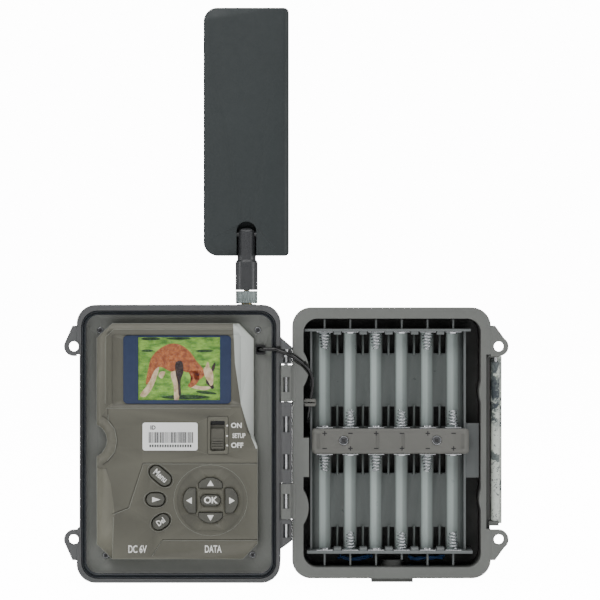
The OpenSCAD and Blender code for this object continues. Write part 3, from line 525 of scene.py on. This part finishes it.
def faceted_dome(name):
    """Milky motion-sensor lens with its grid of small Fresnel facets."""
    material, tree, shader = new_material(name)
    cells = tree.nodes.new("ShaderNodeTexVoronoi")
    cells.feature = "DISTANCE_TO_EDGE"
    cells.inputs["Scale"].default_value = 190
    tree.links.new(object_coords(tree), cells.inputs["Vector"])
    tone = ramp(tree, cells.outputs["Distance"],
                [(0.02, linear((150, 150, 145))), (0.1, linear((222, 222, 215)))])
    tree.links.new(tone.outputs["Color"], shader.inputs["Base Color"])
    shader.inputs["Roughness"].default_value = 0.35
    shader.inputs["Subsurface Weight"].default_value = 0.2
    shader.inputs["Subsurface Radius"].default_value = (0.002, 0.002, 0.002)
    bump(tree, shader, cells.outputs["Distance"], 0.6, 0.0003)
    return material


def ink(name, colour):
    """Printed legend: slightly uneven ink."""
    material, tree, shader = new_material(name)
    base = linear(colour)
    spread = noise(tree, 900, 3.0)
    tone = ramp(tree, spread.outputs["Fac"], [(0.3, shade(base, 0.82)), (0.65, base)])
    tree.links.new(tone.outputs["Color"], shader.inputs["Base Color"])
    shader.inputs["Roughness"].default_value = 0.6
    return material


def build_materials():
    made = {
        "case_dark": dipped_outside(moulded("case_dark", (78, 79, 80), 0.5),
                                    (-117.4, -6.5, 3.2, 156.9), (7.2, 38.5, 41.1)),
        "case_bare": moulded("case_bare", (80, 81, 82), 0.5),
        # case_grey: painted shade darkens it with depth inside the rear case.
        "case_grey": dipped_outside(
            painted_depth_shade(moulded("case_grey", (102, 104, 101), 0.5), 1.5, 14, 0.3),
            (6.8, 114.2, 6.2, 155.1), (7.2, 28.2, 100)),
        "rail_grey": moulded("rail_grey", (70, 71, 68), 0.5),
        "frame_grey": moulded("frame_grey", (106, 108, 104), 0.45),
        # panel: painted highlight on its two facets, and edges painted paler as part wear, part highlight.
        "panel": painted_facet_highlights(moulded("panel", (80, 79, 70), 0.48, grain_depth=0.00004, edge_wear_and_glint=0.35)),
        "tray": moulded("tray", (98, 102, 102), 0.4, grain=1400, grain_depth=0.00003),
        # tray_floor: painted highlight down each trough, painted shade on the pads between.
        "tray_floor": painted_trough_light(
            moulded("tray_floor", (112, 120, 118), 0.34, grain=1400, grain_depth=0.00003)),
        "tray_bar": moulded("tray_bar", (96, 96, 92), 0.5, edge_wear_and_glint=0.1),
        "gasket": rubbery("gasket", (24, 30, 36), 0.42),
        "rubber": rubbery("rubber", (34, 34, 35), 0.6),
        "cable": rubbery("cable", (7, 7, 8), 0.22, sheen=0.0),
        # Pale paint for the edge beads: painted highlight on the panel's edges.
        "bead_highlight_paint": moulded("bead_highlight_paint", (124, 126, 118), 0.4, grain_depth=0.00002, edge_wear_and_glint=0.0),
        "keys": rubbery("keys", (72, 72, 65), 0.45),
        "knob": moulded("knob", (80, 79, 71), 0.45),
        "camo": camouflage("camo"),
        "steel": metal("steel", (214, 216, 218), 0.22, (1, 1, 0.08)),
        "contact": metal("contact", (205, 207, 210), 0.25),
        "screw": metal("screw", (96, 97, 99), 0.35),
        "nut": metal("nut", (146, 156, 155), 0.38, (1, 1, 0.1)),
        "brass": metal("brass", (196, 164, 96), 0.3, (1, 1, 0.1)),
        "shield": metal("shield", (190, 192, 194), 0.36),
        "antenna": moulded("antenna", (38, 44, 45), 0.6, grain=1900, grain_depth=0.00009, edge_wear_and_glint=0.05),
        "stem": moulded("stem", (58, 59, 61), 0.3, edge_wear_and_glint=0.05),
        "board": board_green("board"),
        "lens": lens_glass("lens", (34, 42, 66)),
        "ir": lens_glass("ir", (26, 18, 26)),
        "dome": faceted_dome("dome"),
        "led": lens_glass("led", (96, 90, 110)),
        "wire_blue": rubbery("wire_blue", (52, 92, 150), 0.45),
        "label": moulded("label", (236, 237, 236), 0.42, grain_depth=0.00001, edge_wear_and_glint=0.0),
        "ink_white": ink("ink_white", (236, 236, 232)),
        "ink_black": ink("ink_black", (28, 28, 30)),
        "ink_dark": ink("ink_dark", (48, 50, 50)),
        "lcd": moulded("lcd", (20, 22, 26), 0.3, edge_wear_and_glint=0.0),
    }
    return made


NODE_LOOK = {
    "rear_shell": "case_grey", "rear_back": "case_grey", "strap_rails": "rail_grey",
    "bar_bosses": "case_grey", "antenna_plug": "brass",
    "rear_lugs": "case_grey", "battery_tray": "tray_floor", "tray_upper_wall": "tray",
    "tray_lower_wall": "tray", "tray_left_wall": "tray", "tray_right_wall": "tray",
    "tray_bar": "tray_bar", "bar_screws": "screw", "cell_contacts": "contact",
    "tripod_insert": "brass", "hinge_pin": "steel", "latch_pin": "steel", "cable_clip": "tray_bar",
    "front_shell": "case_dark", "front_lugs": "case_bare", "gasket": "gasket",
    "inner_frame": "frame_grey", "frame_screws": "screw", "control_panel": "panel",
    "lcd_module": "lcd", "switch_body": "lcd", "tact_switches": "rubber", "main_pcb": "board",
    "modem_module": "shield", "sd_slot": "shield", "io_board": "board", "dc_jack": "rubber",
    "data_port": "shield", "id_label": "label", "lens_barrel": "lcd", "lens_window": "lens",
    "image_sensor": "board", "ir_board": "board", "ir_leds": "led", "ir_window": "ir",
    "pir_lens": "dome", "pir_sensor": "shield", "antenna_connector": "brass",
    "cable_grommet": "rubber", "latch": "camo", "port_cover": "rubber", "antenna_nut": "nut",
    "antenna_stem": "stem", "antenna_hinge_pin": "stem", "paddle_front": "antenna",
    "paddle_back": "antenna", "radiator_board": "board", "menu_key": "keys", "play_key": "keys",
    "delete_key": "keys", "ok_key": "keys", "up_key": "keys", "down_key": "keys",
    "left_key": "keys", "right_key": "keys", "power_switch_knob": "knob",
}
COMMON_SOFT_EDGE = 0.15
WELD_REACH = 0.000004
SHARP_ANGLE = math.radians(24)
BEVEL_ANGLE = math.radians(34)
SOFT_EDGE = {
    "rear_shell": 0.2, "rear_back": 0.0, "front_shell": 0.2, "latch": 0.5,
    "paddle_front": 0.0, "paddle_back": 0.0,
    "gasket": 0.5, "battery_tray": 0.0, "control_panel": 0.0, "tray_bar": 0.0, "id_label": 0.02,
    "antenna_nut": 0.15, "inner_frame": 0.0, "rear_lugs": 0.2, "front_lugs": 0.2,
    "pir_lens": 0.05, "ir_leds": 0.0, "cell_contacts": 0.05,
}


def dress_nodes(looks):
    for name, look in NODE_LOOK.items():
        if name not in nodes:
            continue
        cad = nodes[name]
        cad.data.materials.clear()
        cad.data.materials.append(looks[look])
        for polygon in cad.data.polygons:
            polygon.use_smooth = True
        weld = cad.modifiers.new("weld", "WELD")
        weld.merge_threshold = WELD_REACH
        cad.data.set_sharp_from_angle(angle=SHARP_ANGLE)
        width = SOFT_EDGE.get(name, COMMON_SOFT_EDGE) * MM
        if width > 0:
            soft = cad.modifiers.new("soft_edges", "BEVEL")
            soft.width = width
            soft.segments = 2
            soft.limit_method = "ANGLE"
            soft.angle_limit = BEVEL_ANGLE
            soft.use_clamp_overlap = False
        even = cad.modifiers.new("even_normals", "WEIGHTED_NORMAL")
        even.weight = 100
        even.keep_sharp = True


# ---- small pieces made here ----
def link(name, bm, material, body, smooth=True):
    mesh = bpy.data.meshes.new(name)
    bm.normal_update()
    bm.to_mesh(mesh)
    bm.free()
    for polygon in mesh.polygons:
        polygon.use_smooth = smooth
    mesh.materials.append(material)
    piece = bpy.data.objects.new(name, mesh)
    bpy.context.scene.collection.objects.link(piece)
    if body:
        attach(piece, body)
    return piece


def tube(bm, points, radius, sides=10, caps=True):
    """A round tube along points; radius is a number or one for each point."""
    rings = []
    normal = None
    for i, p in enumerate(points):
        before = points[max(i - 1, 0)]
        after = points[min(i + 1, len(points) - 1)]
        along = (Vector(after) - Vector(before)).normalized()
        if normal is None:
            guess = Vector((0, 0, 1)) if abs(along.z) < 0.9 else Vector((1, 0, 0))
            normal = along.cross(guess).normalized()
        normal = (normal - along * normal.dot(along)).normalized()
        side = along.cross(normal)
        r = radius[i] if isinstance(radius, (list, tuple)) else radius
        ring = []
        for k in range(sides):
            a = 2 * math.pi * k / sides
            ring.append(bm.verts.new(Vector(p) + normal * (r * math.cos(a)) + side * (r * math.sin(a))))
        rings.append(ring)
    for first, second in zip(rings, rings[1:]):
        for k in range(sides):
            n = (k + 1) % sides
            bm.faces.new((first[k], first[n], second[n], second[k]))
    if caps:
        bm.faces.new(list(reversed(rings[0])))
        bm.faces.new(rings[-1])


def smooth_path(points, steps=6):
    """A Catmull-Rom curve through the points."""
    path = []
    count = len(points)
    for i in range(count - 1):
        p0 = Vector(points[max(i - 1, 0)])
        p1 = Vector(points[i])
        p2 = Vector(points[i + 1])
        p3 = Vector(points[min(i + 2, count - 1)])
        for s in range(steps):
            t = s / steps
            path.append(0.5 * ((2 * p1) + (p2 - p0) * t + (2 * p0 - 5 * p1 + 4 * p2 - p3) * t * t
                               + (3 * p1 - p0 - 3 * p2 + p3) * t ** 3))
    path.append(Vector(points[-1]))
    return path


CABLE_ROUTE = [
    (-15.5, 6.6, 134.1), (-15.3, 3.9, 134.2), (-14.3, 1.5, 134.35), (-12, 0.4, 134.5),
    (-9, 0.2, 134.55), (-6.6, -0.4, 134.4), (-4.6, -1.5, 133.8), (-2.4, -2.5, 133),
    (0, -3, 132.2), (2.4, -2.6, 131.3), (4.6, -1.4, 130), (6.6, -0.1, 128.5),
    (8.6, 1.1, 127), (10.4, 2.2, 125.3), (12.2, 3.2, 123.3), (13.7, 3.9, 120.9),
    (14.8, 4.3, 118), (15.1, 4.6, 114.7), (14.8, 4.8, 111.5), (14.2, 5, 108),
    (13.7, 5.2, 103.7), (13.2, 5.6, 100), (12.6, 6.6, 96.5), (12.2, 8.6, 93.2),
    (12, 11.4, 90.2), (12, 14.6, 87.6), (12, 18, 86)]


def build_cable(looks):
    points = [(x * MM, deep(d), z * MM) for x, d, z in CABLE_ROUTE]
    bm = bmesh.new()
    tube(bm, smooth_path(points, 4), 1.08 * MM, 14)
    cable = link("power_cable_bent", bm, looks["cable"], None)
    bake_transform(cable)
    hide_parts("power_cable")


def build_springs(looks):
    """Conical battery springs wound from round wire."""
    bm = bmesh.new()
    axis_y = deep(CELL_AXIS_D)
    turns = 5.2
    wide_r = 3.1
    taper = 1.25
    height = 9.3
    wire_r = 0.36
    for k, x in enumerate(COLUMNS):
        places = [(144.1, -1), (73.5, -1)] if k % 2 == 0 else [(89.5, 1), (18.9, 1)]
        for z, way in places:
            count = int(turns * 16)
            points = []
            for i in range(count + 1):
                t = i / count
                a = 2 * math.pi * turns * t + k
                r = (wide_r - taper * t) * MM
                rise = (0.4 + height * t ** 1.05) * MM
                points.append((x * MM + r * math.cos(a), axis_y + r * math.sin(a), z * MM + way * rise))
            tube(bm, points, wire_r * MM, 8)
    springs = link("wound_springs", bm, looks["contact"], "rear_case")
    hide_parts("cell_springs")


def build_wires(looks):
    bm = bmesh.new()
    routes = [
        [(30, 20, 12.4), (33, 18.6, 13.2), (38, 17.6, 12.2), (43, 17.9, 13.0), (47, 19, 13.8),
         (50, 20.2, 13.2)],
        [(31, 19, 13.9), (35, 17.8, 12.0), (41, 17.2, 11.9), (45, 17.8, 12.3), (49.5, 19.6, 13.9)],
        [(71, 20.2, 13.4), (75, 18.8, 12.4), (79, 17.9, 12.9), (84, 18.2, 12.2), (88, 19.4, 13.2),
         (92, 20.2, 13.8)],
        [(72, 19.2, 12.2), (77, 17.6, 12.0), (83, 17.4, 13.3), (91, 19.6, 12.4)],
    ]
    for route in routes:
        points = [(x * MM, deep(d), z * MM) for x, d, z in route]
        tube(bm, smooth_path(points, 6), 0.8 * MM, 10)
    wires = link("blue_wires", bm, looks["wire_blue"], "rear_case")
    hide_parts("battery_wires")


def flat_shape(bm, outline, d, up=0.05):
    """A thin raised shape facing the viewer, from outline points (x, z) in millimetres."""
    front = [bm.verts.new((x * MM, deep(d - up), z * MM)) for x, z in outline]
    back = [bm.verts.new((x * MM, deep(d), z * MM)) for x, z in outline]
    bm.faces.new(front)
    for i in range(len(outline)):
        n = (i + 1) % len(outline)
        bm.faces.new((front[i], back[i], back[n], front[n]))


def box_shape(bm, x0, x1, z0, z1, d, up=0.05):
    flat_shape(bm, [(x0, z0), (x1, z0), (x1, z1), (x0, z1)], d, up)


def lettering(name, words, x, z, height, d, material, body, turn=0.0, narrow=1.0, heavy=0.0):
    """Words facing the viewer, centred at (x, z), as a thin raised mesh."""
    data = bpy.data.curves.new(name + "_curve", "FONT")
    data.body = words
    data.align_x = "CENTER"
    data.align_y = "CENTER"
    data.size = height * MM * 1.38
    data.extrude = 0.00002
    data.offset = heavy * MM
    data.resolution_u = 4
    holder = bpy.data.objects.new(name + "_curve", data)
    bpy.context.scene.collection.objects.link(holder)
    graph = bpy.context.evaluated_depsgraph_get()
    mesh = bpy.data.meshes.new_from_object(holder.evaluated_get(graph))
    bpy.data.objects.remove(holder)
    mesh.name = name
    place = (Matrix.Translation((x * MM, deep(d) - 0.00002, z * MM))
             @ Matrix.Rotation(math.radians(-turn), 4, "Y") @ Matrix.Rotation(math.pi / 2, 4, "X")
             @ Matrix.Diagonal((narrow, 1, 1, 1)))
    mesh.transform(place)
    mesh.materials.clear()
    mesh.materials.append(material)
    piece = bpy.data.objects.new(name, mesh)
    bpy.context.scene.collection.objects.link(piece)
    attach(piece, body)
    return piece


PANEL_D = -1.0
KEY_D = -1.9
LABEL_D = -1.05
MARK_D = 2.34
INK_UP = 0.02


def build_legends(looks):
    white = looks["ink_white"]
    legends = [
        ("on", "ON", -28.6, 90.6, 2.9, 1.0, 0.12), ("setup", "SETUP", -27.2, 84.7, 2.7, 0.72, 0.1),
        ("off", "OFF", -28.2, 79.2, 2.9, 1.0, 0.12), ("dc", "DC 6V", -85.6, 19.4, 4.4, 0.62, 0.12),
        ("data", "DATA", -42.1, 19.5, 4.2, 0.62, 0.12)]
    for name, words, x, z, size, narrow, heavy in legends:
        lettering("legend_" + name, words, x, z, size, PANEL_D, white, "front_case",
                  narrow=narrow, heavy=heavy)
    bm = bmesh.new()
    dot_x = -34
    dot_r = 0.55
    for z in (90.6, 84.7, 79.2):
        angles = [a * math.pi / 4 for a in range(8)]
        flat_shape(bm, [(dot_x + dot_r * math.cos(a), z + dot_r * math.sin(a)) for a in angles], PANEL_D)
    dots = link("switch_dots", bm, white, "front_case", smooth=False)
    key_words = [
        ("menu", "Menu", -72.3, 61.8, 3.6, -40, 0.8, 0.1), ("delete", "Del", -72, 35.3, 3.2, 35, 0.8, 0.1),
        ("ok", "OK", -43.5, 47.7, 3.7, 0.0, 1.0, 0.16)]
    for key, words, x, z, size, turn, narrow, heavy in key_words:
        lettering(key + "_word", words, x, z, size, KEY_D, white, key + "_key", turn, narrow, heavy)
    arrows = {
        "play": (-75.1, 48.2, [(-1.9, -1.5), (2.9, 0), (-1.9, 1.5)]),
        "up": (-43.5, 57.6, [(-1.9, -1.6), (1.9, -1.6), (0, 1.7)]),
        "down": (-43.5, 37.7, [(-1.9, 1.6), (0, -1.7), (1.9, 1.6)]),
        "left": (-55.8, 47.6, [(1.6, -1.9), (1.6, 1.9), (-1.7, 0)]),
        "right": (-31.2, 47.6, [(-1.6, -1.9), (1.7, 0), (-1.6, 1.9)]),
    }
    for key, (x, z, outline) in arrows.items():
        bm = bmesh.new()
        flat_shape(bm, [(x + a, z + b) for a, b in outline], KEY_D, 0.04)
        piece = link(key + "_arrow", bm, white, key + "_key", smooth=False)


PANEL_OUTLINE = [
    (-102.9, 82.1), (-103.6, 78.4), (-105.6, 75.2), (-108.8, 72.9), (-108.8, 22.5), (-100, 14), (-25, 14),
    (-16.6, 22.7), (-16.6, 78.3), (-18.7, 84.6), (-18.7, 140.5), (-27.3, 149.3), (-100, 149.3),
    (-108.8, 141), (-108.8, 91.2), (-105.6, 89.0), (-103.6, 85.8), (-102.9, 82.1)]
PANEL_LINES = [
    [(-104, 103.2), (-104, 141.4), (-99, 146), (-31, 146)],
    [(-103.4, 100.6), (-31.8, 100.6)],
    [(-102.4, 97), (-102.4, 93.4), (-98.6, 88.6), (-97.4, 82.1), (-98.6, 75.6), (-102.8, 70.4)],
    [(-16.6, 68.6), (-82.0, 68.6), (-90.2, 43.2), (-99.4, 39.4)],
    [(-16.8, 24.6), (-71.2, 24.6), (-77.2, 15.6)],
    [(-99.4, 38.4), (-99.8, 14.6)]]


def build_edge_highlight_beads(looks):
    """Painted highlight on the panel's raised edges: a fine pale bead along its outline, its grooves and the
    key rings.
    """
    bm = bmesh.new()
    for line in [PANEL_OUTLINE] + PANEL_LINES:
        rise = 0.9 if line is PANEL_OUTLINE else 0.98
        points = [(x * MM, deep(-rise), z * MM) for x, z in line]
        tube(bm, points, 0.16 * MM, 6)
    for x, z, rx, rz, turn in KEY_RINGS:
        ring = ellipse(x, z, rx, rz, turn, 28)
        ring.append(ring[0])
        tube(bm, [(a * MM, deep(-0.98), b * MM) for a, b in ring], 0.12 * MM, 6)
    beads = link("panel_edge_highlight_beads", bm, looks["bead_highlight_paint"], "front_case")


KEY_RINGS = [
    (-72.3, 61.8, 8.6, 5.2, -40), (-75.1, 48.2, 6.8, 4.9, 0), (-72, 35.3, 6.8, 4.9, 35),
    (-43.5, 47.7, 21.2, 20.4, 0)]


def build_label_print(looks):
    """A plain scan code: bars of random widths, one row of short blocks and the letters ID."""
    bm = bmesh.new()
    x = -79.0
    while x < -54.0:
        width = random.choice((0.18, 0.18, 0.36, 0.54))
        box_shape(bm, x, x + width, 80.7, 86.9, LABEL_D, INK_UP)
        x += width + random.choice((0.2, 0.2, 0.4))
    block = 0.9
    block_pitch = 1.45
    x = -78.6
    while x < -55.0:
        box_shape(bm, x, x + block, 78.2, 79.7, LABEL_D, INK_UP)
        x += block_pitch
    lettering("label_id", "ID", -76.6, 89.4, 2.3, LABEL_D, looks["ink_black"], "front_case", heavy=0.1)
    printed = link("label_print", bm, looks["ink_black"], "front_case", smooth=False)


def build_bar_marks(looks):
    """Dark ink in the engraved plus and minus marks of the middle bar."""
    bm = bmesh.new()
    half = 0.28
    arm = 1.3
    stem = 1.28
    for k, x in enumerate(COLUMNS):
        for z, plus in ((86.0, k % 2 == 0), (77.3, k % 2 == 1)):
            box_shape(bm, x - arm, x + arm, z - half, z + half, MARK_D, INK_UP)
            if plus:
                box_shape(bm, x - half, x + half, z - stem, z - half, MARK_D, INK_UP)
                box_shape(bm, x - half, x + half, z + half, z + stem, MARK_D, INK_UP)
    marks = link("polarity_ink", bm, looks["ink_black"], "rear_case", smooth=False)


def build_screw_shade_and_glints(looks):
    """Painted shade and highlight on the bar and frame screws: a dark disc as shade in each drive recess and
    a bright ring as highlight on each rim.
    """
    bar_heads = [(x, z, 2.28, 1.15, 2.45) for x, z in BAR_SCREWS]
    frame_heads = [(x, z, 5.78, 0.75, 1.55) for x, z in FRAME_SCREWS]
    for group, heads, body in (("bar", bar_heads, "rear_case"), ("frame", frame_heads, "front_case")):
        # The dark discs are painted shade for the drive recesses; the bright tubes are painted highlight
        # rings.
        dark = bmesh.new()
        rim_glint_mesh = bmesh.new()
        for x, z, d, inner, outer in heads:
            flat_shape(dark, ellipse(x, z, inner, inner, 0, 6), d, 0.015)
            ring = ellipse(x, z, outer, outer, 0, 24)
            ring.append(ring[0])
            tube(rim_glint_mesh, [(a * MM, deep(d), b * MM) for a, b in ring], 0.13 * MM, 6)
        socket_shade_piece = link("screw_socket_shade_" + group, dark, looks["rubber"], body, smooth=False)
        rim_glint_piece = link("screw_rim_glints_" + group, rim_glint_mesh, looks["contact"], body)


BAR_SCREWS = [(33.1, 81.8), (86.7, 82.0)]
FRAME_SCREWS = [(-107.4, 145.3), (-16.4, 145.5), (-104.2, 15.4), (-19.5, 15.7)]


def ellipse(x, z, rx, rz, turn=0.0, count=20):
    c, s = math.cos(math.radians(turn)), math.sin(math.radians(turn))
    points = []
    for i in range(count):
        a = 2 * math.pi * i / count
        u, v = rx * math.cos(a), rz * math.sin(a)
        points.append((x + u * c - v * s, z + u * s + v * c))
    return points


def rounded(outline):
    """A closed smooth outline through the given corners."""
    count = len(outline)
    path = []
    for i in range(count):
        p0, p1, p2, p3 = (Vector(outline[(i + k) % count]) for k in (-1, 0, 1, 2))
        for t in (0.0, 0.25, 0.5, 0.75):
            q = 0.5 * (2 * p1 + (p2 - p0) * t + (2 * p0 - 5 * p1 + 4 * p2 - p3) * t * t
                       + (3 * p1 - p0 - 3 * p2 + p3) * t ** 3)
            path.append((q.x, q.y))
    return path


def picture_material(name, low, high, scale, glow=0.35, stretch=(1, 1, 1)):
    material, tree, shader = new_material(name)
    mapping = tree.nodes.new("ShaderNodeMapping")
    mapping.inputs["Scale"].default_value = stretch
    tree.links.new(object_coords(tree), mapping.inputs["Vector"])
    texture = noise(tree, scale, 5.0, 0.65, mapping.outputs["Vector"])
    tone = ramp(tree, texture.outputs["Fac"], [(0.35, linear(low)), (0.65, linear(high))])
    tree.links.new(tone.outputs["Color"], shader.inputs["Base Color"])
    tree.links.new(tone.outputs["Color"], shader.inputs["Emission Color"])
    shader.inputs["Emission Strength"].default_value = glow
    shader.inputs["Roughness"].default_value = 0.5
    return material


def build_screen():
    """The display's picture: a hopping animal grazing on grass, drawn here from simple outlines."""
    grass = picture_material("picture_grass", (70, 118, 34), (150, 196, 78), 150, stretch=(1, 1, 2.2))
    shadow = picture_material("picture_shadow", (26, 48, 16), (52, 84, 30), 200)
    fur = picture_material("picture_fur", (120, 60, 28), (186, 112, 62), 420)
    pale = picture_material("picture_pale", (178, 150, 112), (222, 202, 168), 380)
    dark = picture_material("picture_dark", (34, 24, 18), (66, 48, 36), 420)
    layers = [
        ("picture_ground", grass, [[(-85.2, 105.2), (-38.1, 105.2), (-38.1, 141.4), (-85.2, 141.4)]]),
        ("picture_shade", shadow, [
            ellipse(-58, 106.9, 14, 1.3), ellipse(-46, 109.5, 6, 0.9, -6), ellipse(-78, 140.4, 5.6, 0.9),
            ellipse(-62, 140.6, 7, 0.7), ellipse(-80, 133.6, 3.4, 0.8), ellipse(-47, 133.5, 5, 0.8)]),
        ("picture_tail", pale, [
            [(-81.5, 107.0), (-84.2, 107.6), (-82.8, 110.4), (-79.8, 114.2), (-78.3, 119.5), (-76.0, 124.4),
             (-73.2, 124.0), (-74.9, 117.6), (-77.2, 112.0), (-79.4, 108.8)],
            [(-64.4, 105.3), (-62.0, 105.3), (-61.4, 110.0), (-61.0, 116.0), (-63.0, 121.8), (-66.6, 120.5),
             (-64.8, 113.0)],
            [(-55.6, 112.6), (-47.6, 110.9), (-43.8, 111.9), (-44.2, 113.0), (-50.0, 113.2), (-54.6, 114.6)],
            [(-71.6, 117.6), (-73.6, 119.4), (-72.2, 121.6), (-69.6, 121.2)]]),
        ("picture_body", fur, [
            [(-79.3, 124.0), (-77.6, 129.6), (-73.4, 134.4), (-67.0, 137.6), (-61.0, 137.0), (-55.6, 133.2),
             (-51.6, 127.6), (-48.4, 123.8), (-47.0, 119.8), (-50.0, 117.0), (-53.0, 117.6), (-53.6, 121.0),
             (-57.6, 121.2), (-62.0, 123.0), (-66.2, 121.6), (-72.0, 124.2), (-75.6, 122.6), (-79.0, 115.6),
             (-80.9, 114.8)],
            [(-56.0, 121.4), (-53.8, 117.4), (-56.6, 113.8), (-54.6, 112.4), (-50.4, 116.2),
             (-50.8, 121.6)]]),
        ("picture_legs", dark, [
            [(-63.8, 126.6), (-60.0, 127.4), (-59.2, 121.4), (-61.0, 116.0), (-60.6, 109.0), (-62.0, 108.2),
             (-62.4, 115.0), (-63.6, 120.0)],
            [(-45.8, 118.4), (-43.0, 117.0), (-41.6, 112.6), (-42.8, 111.6), (-44.4, 113.4), (-46.2, 115.2)],
            [(-42.9, 124.4), (-40.9, 127.0), (-41.2, 123.4), (-42.6, 121.4)]]),
        ("picture_head", pale, [
            [(-47.6, 123.0), (-45.4, 124.6), (-43.2, 123.0), (-42.0, 119.6), (-42.2, 114.6), (-43.6, 113.4),
             (-44.8, 115.6), (-46.8, 118.6)],
            [(-46.4, 124.2), (-45.2, 127.4), (-44.2, 124.4)]]),
    ]
    for level, (name, material, shapes) in enumerate(layers):
        bm = bmesh.new()
        for outline in shapes:
            shown = outline if level == 0 else rounded(outline)
            flat_shape(bm, shown, 1.59 - 0.015 * level, 0.012)
        bmesh.ops.triangulate(bm, faces=bm.faces[:])
        piece = link(name, bm, material, "front_case", smooth=False)


build_camera()
build_lights()
build_floor()
looks = build_materials()
dress_nodes(looks)
window = window_glass("screen_cover", (48, 58, 84), 0.08, (-0.0852, -0.0381, 0.1052, 0.1414))
nodes["screen_window"].data.materials.clear()
nodes["screen_window"].data.materials.append(window)
build_cable(looks)
build_springs(looks)
build_wires(looks)
build_legends(looks)
build_label_print(looks)
build_edge_highlight_beads(looks)
build_bar_marks(looks)
build_screw_shade_and_glints(looks)
build_screen()
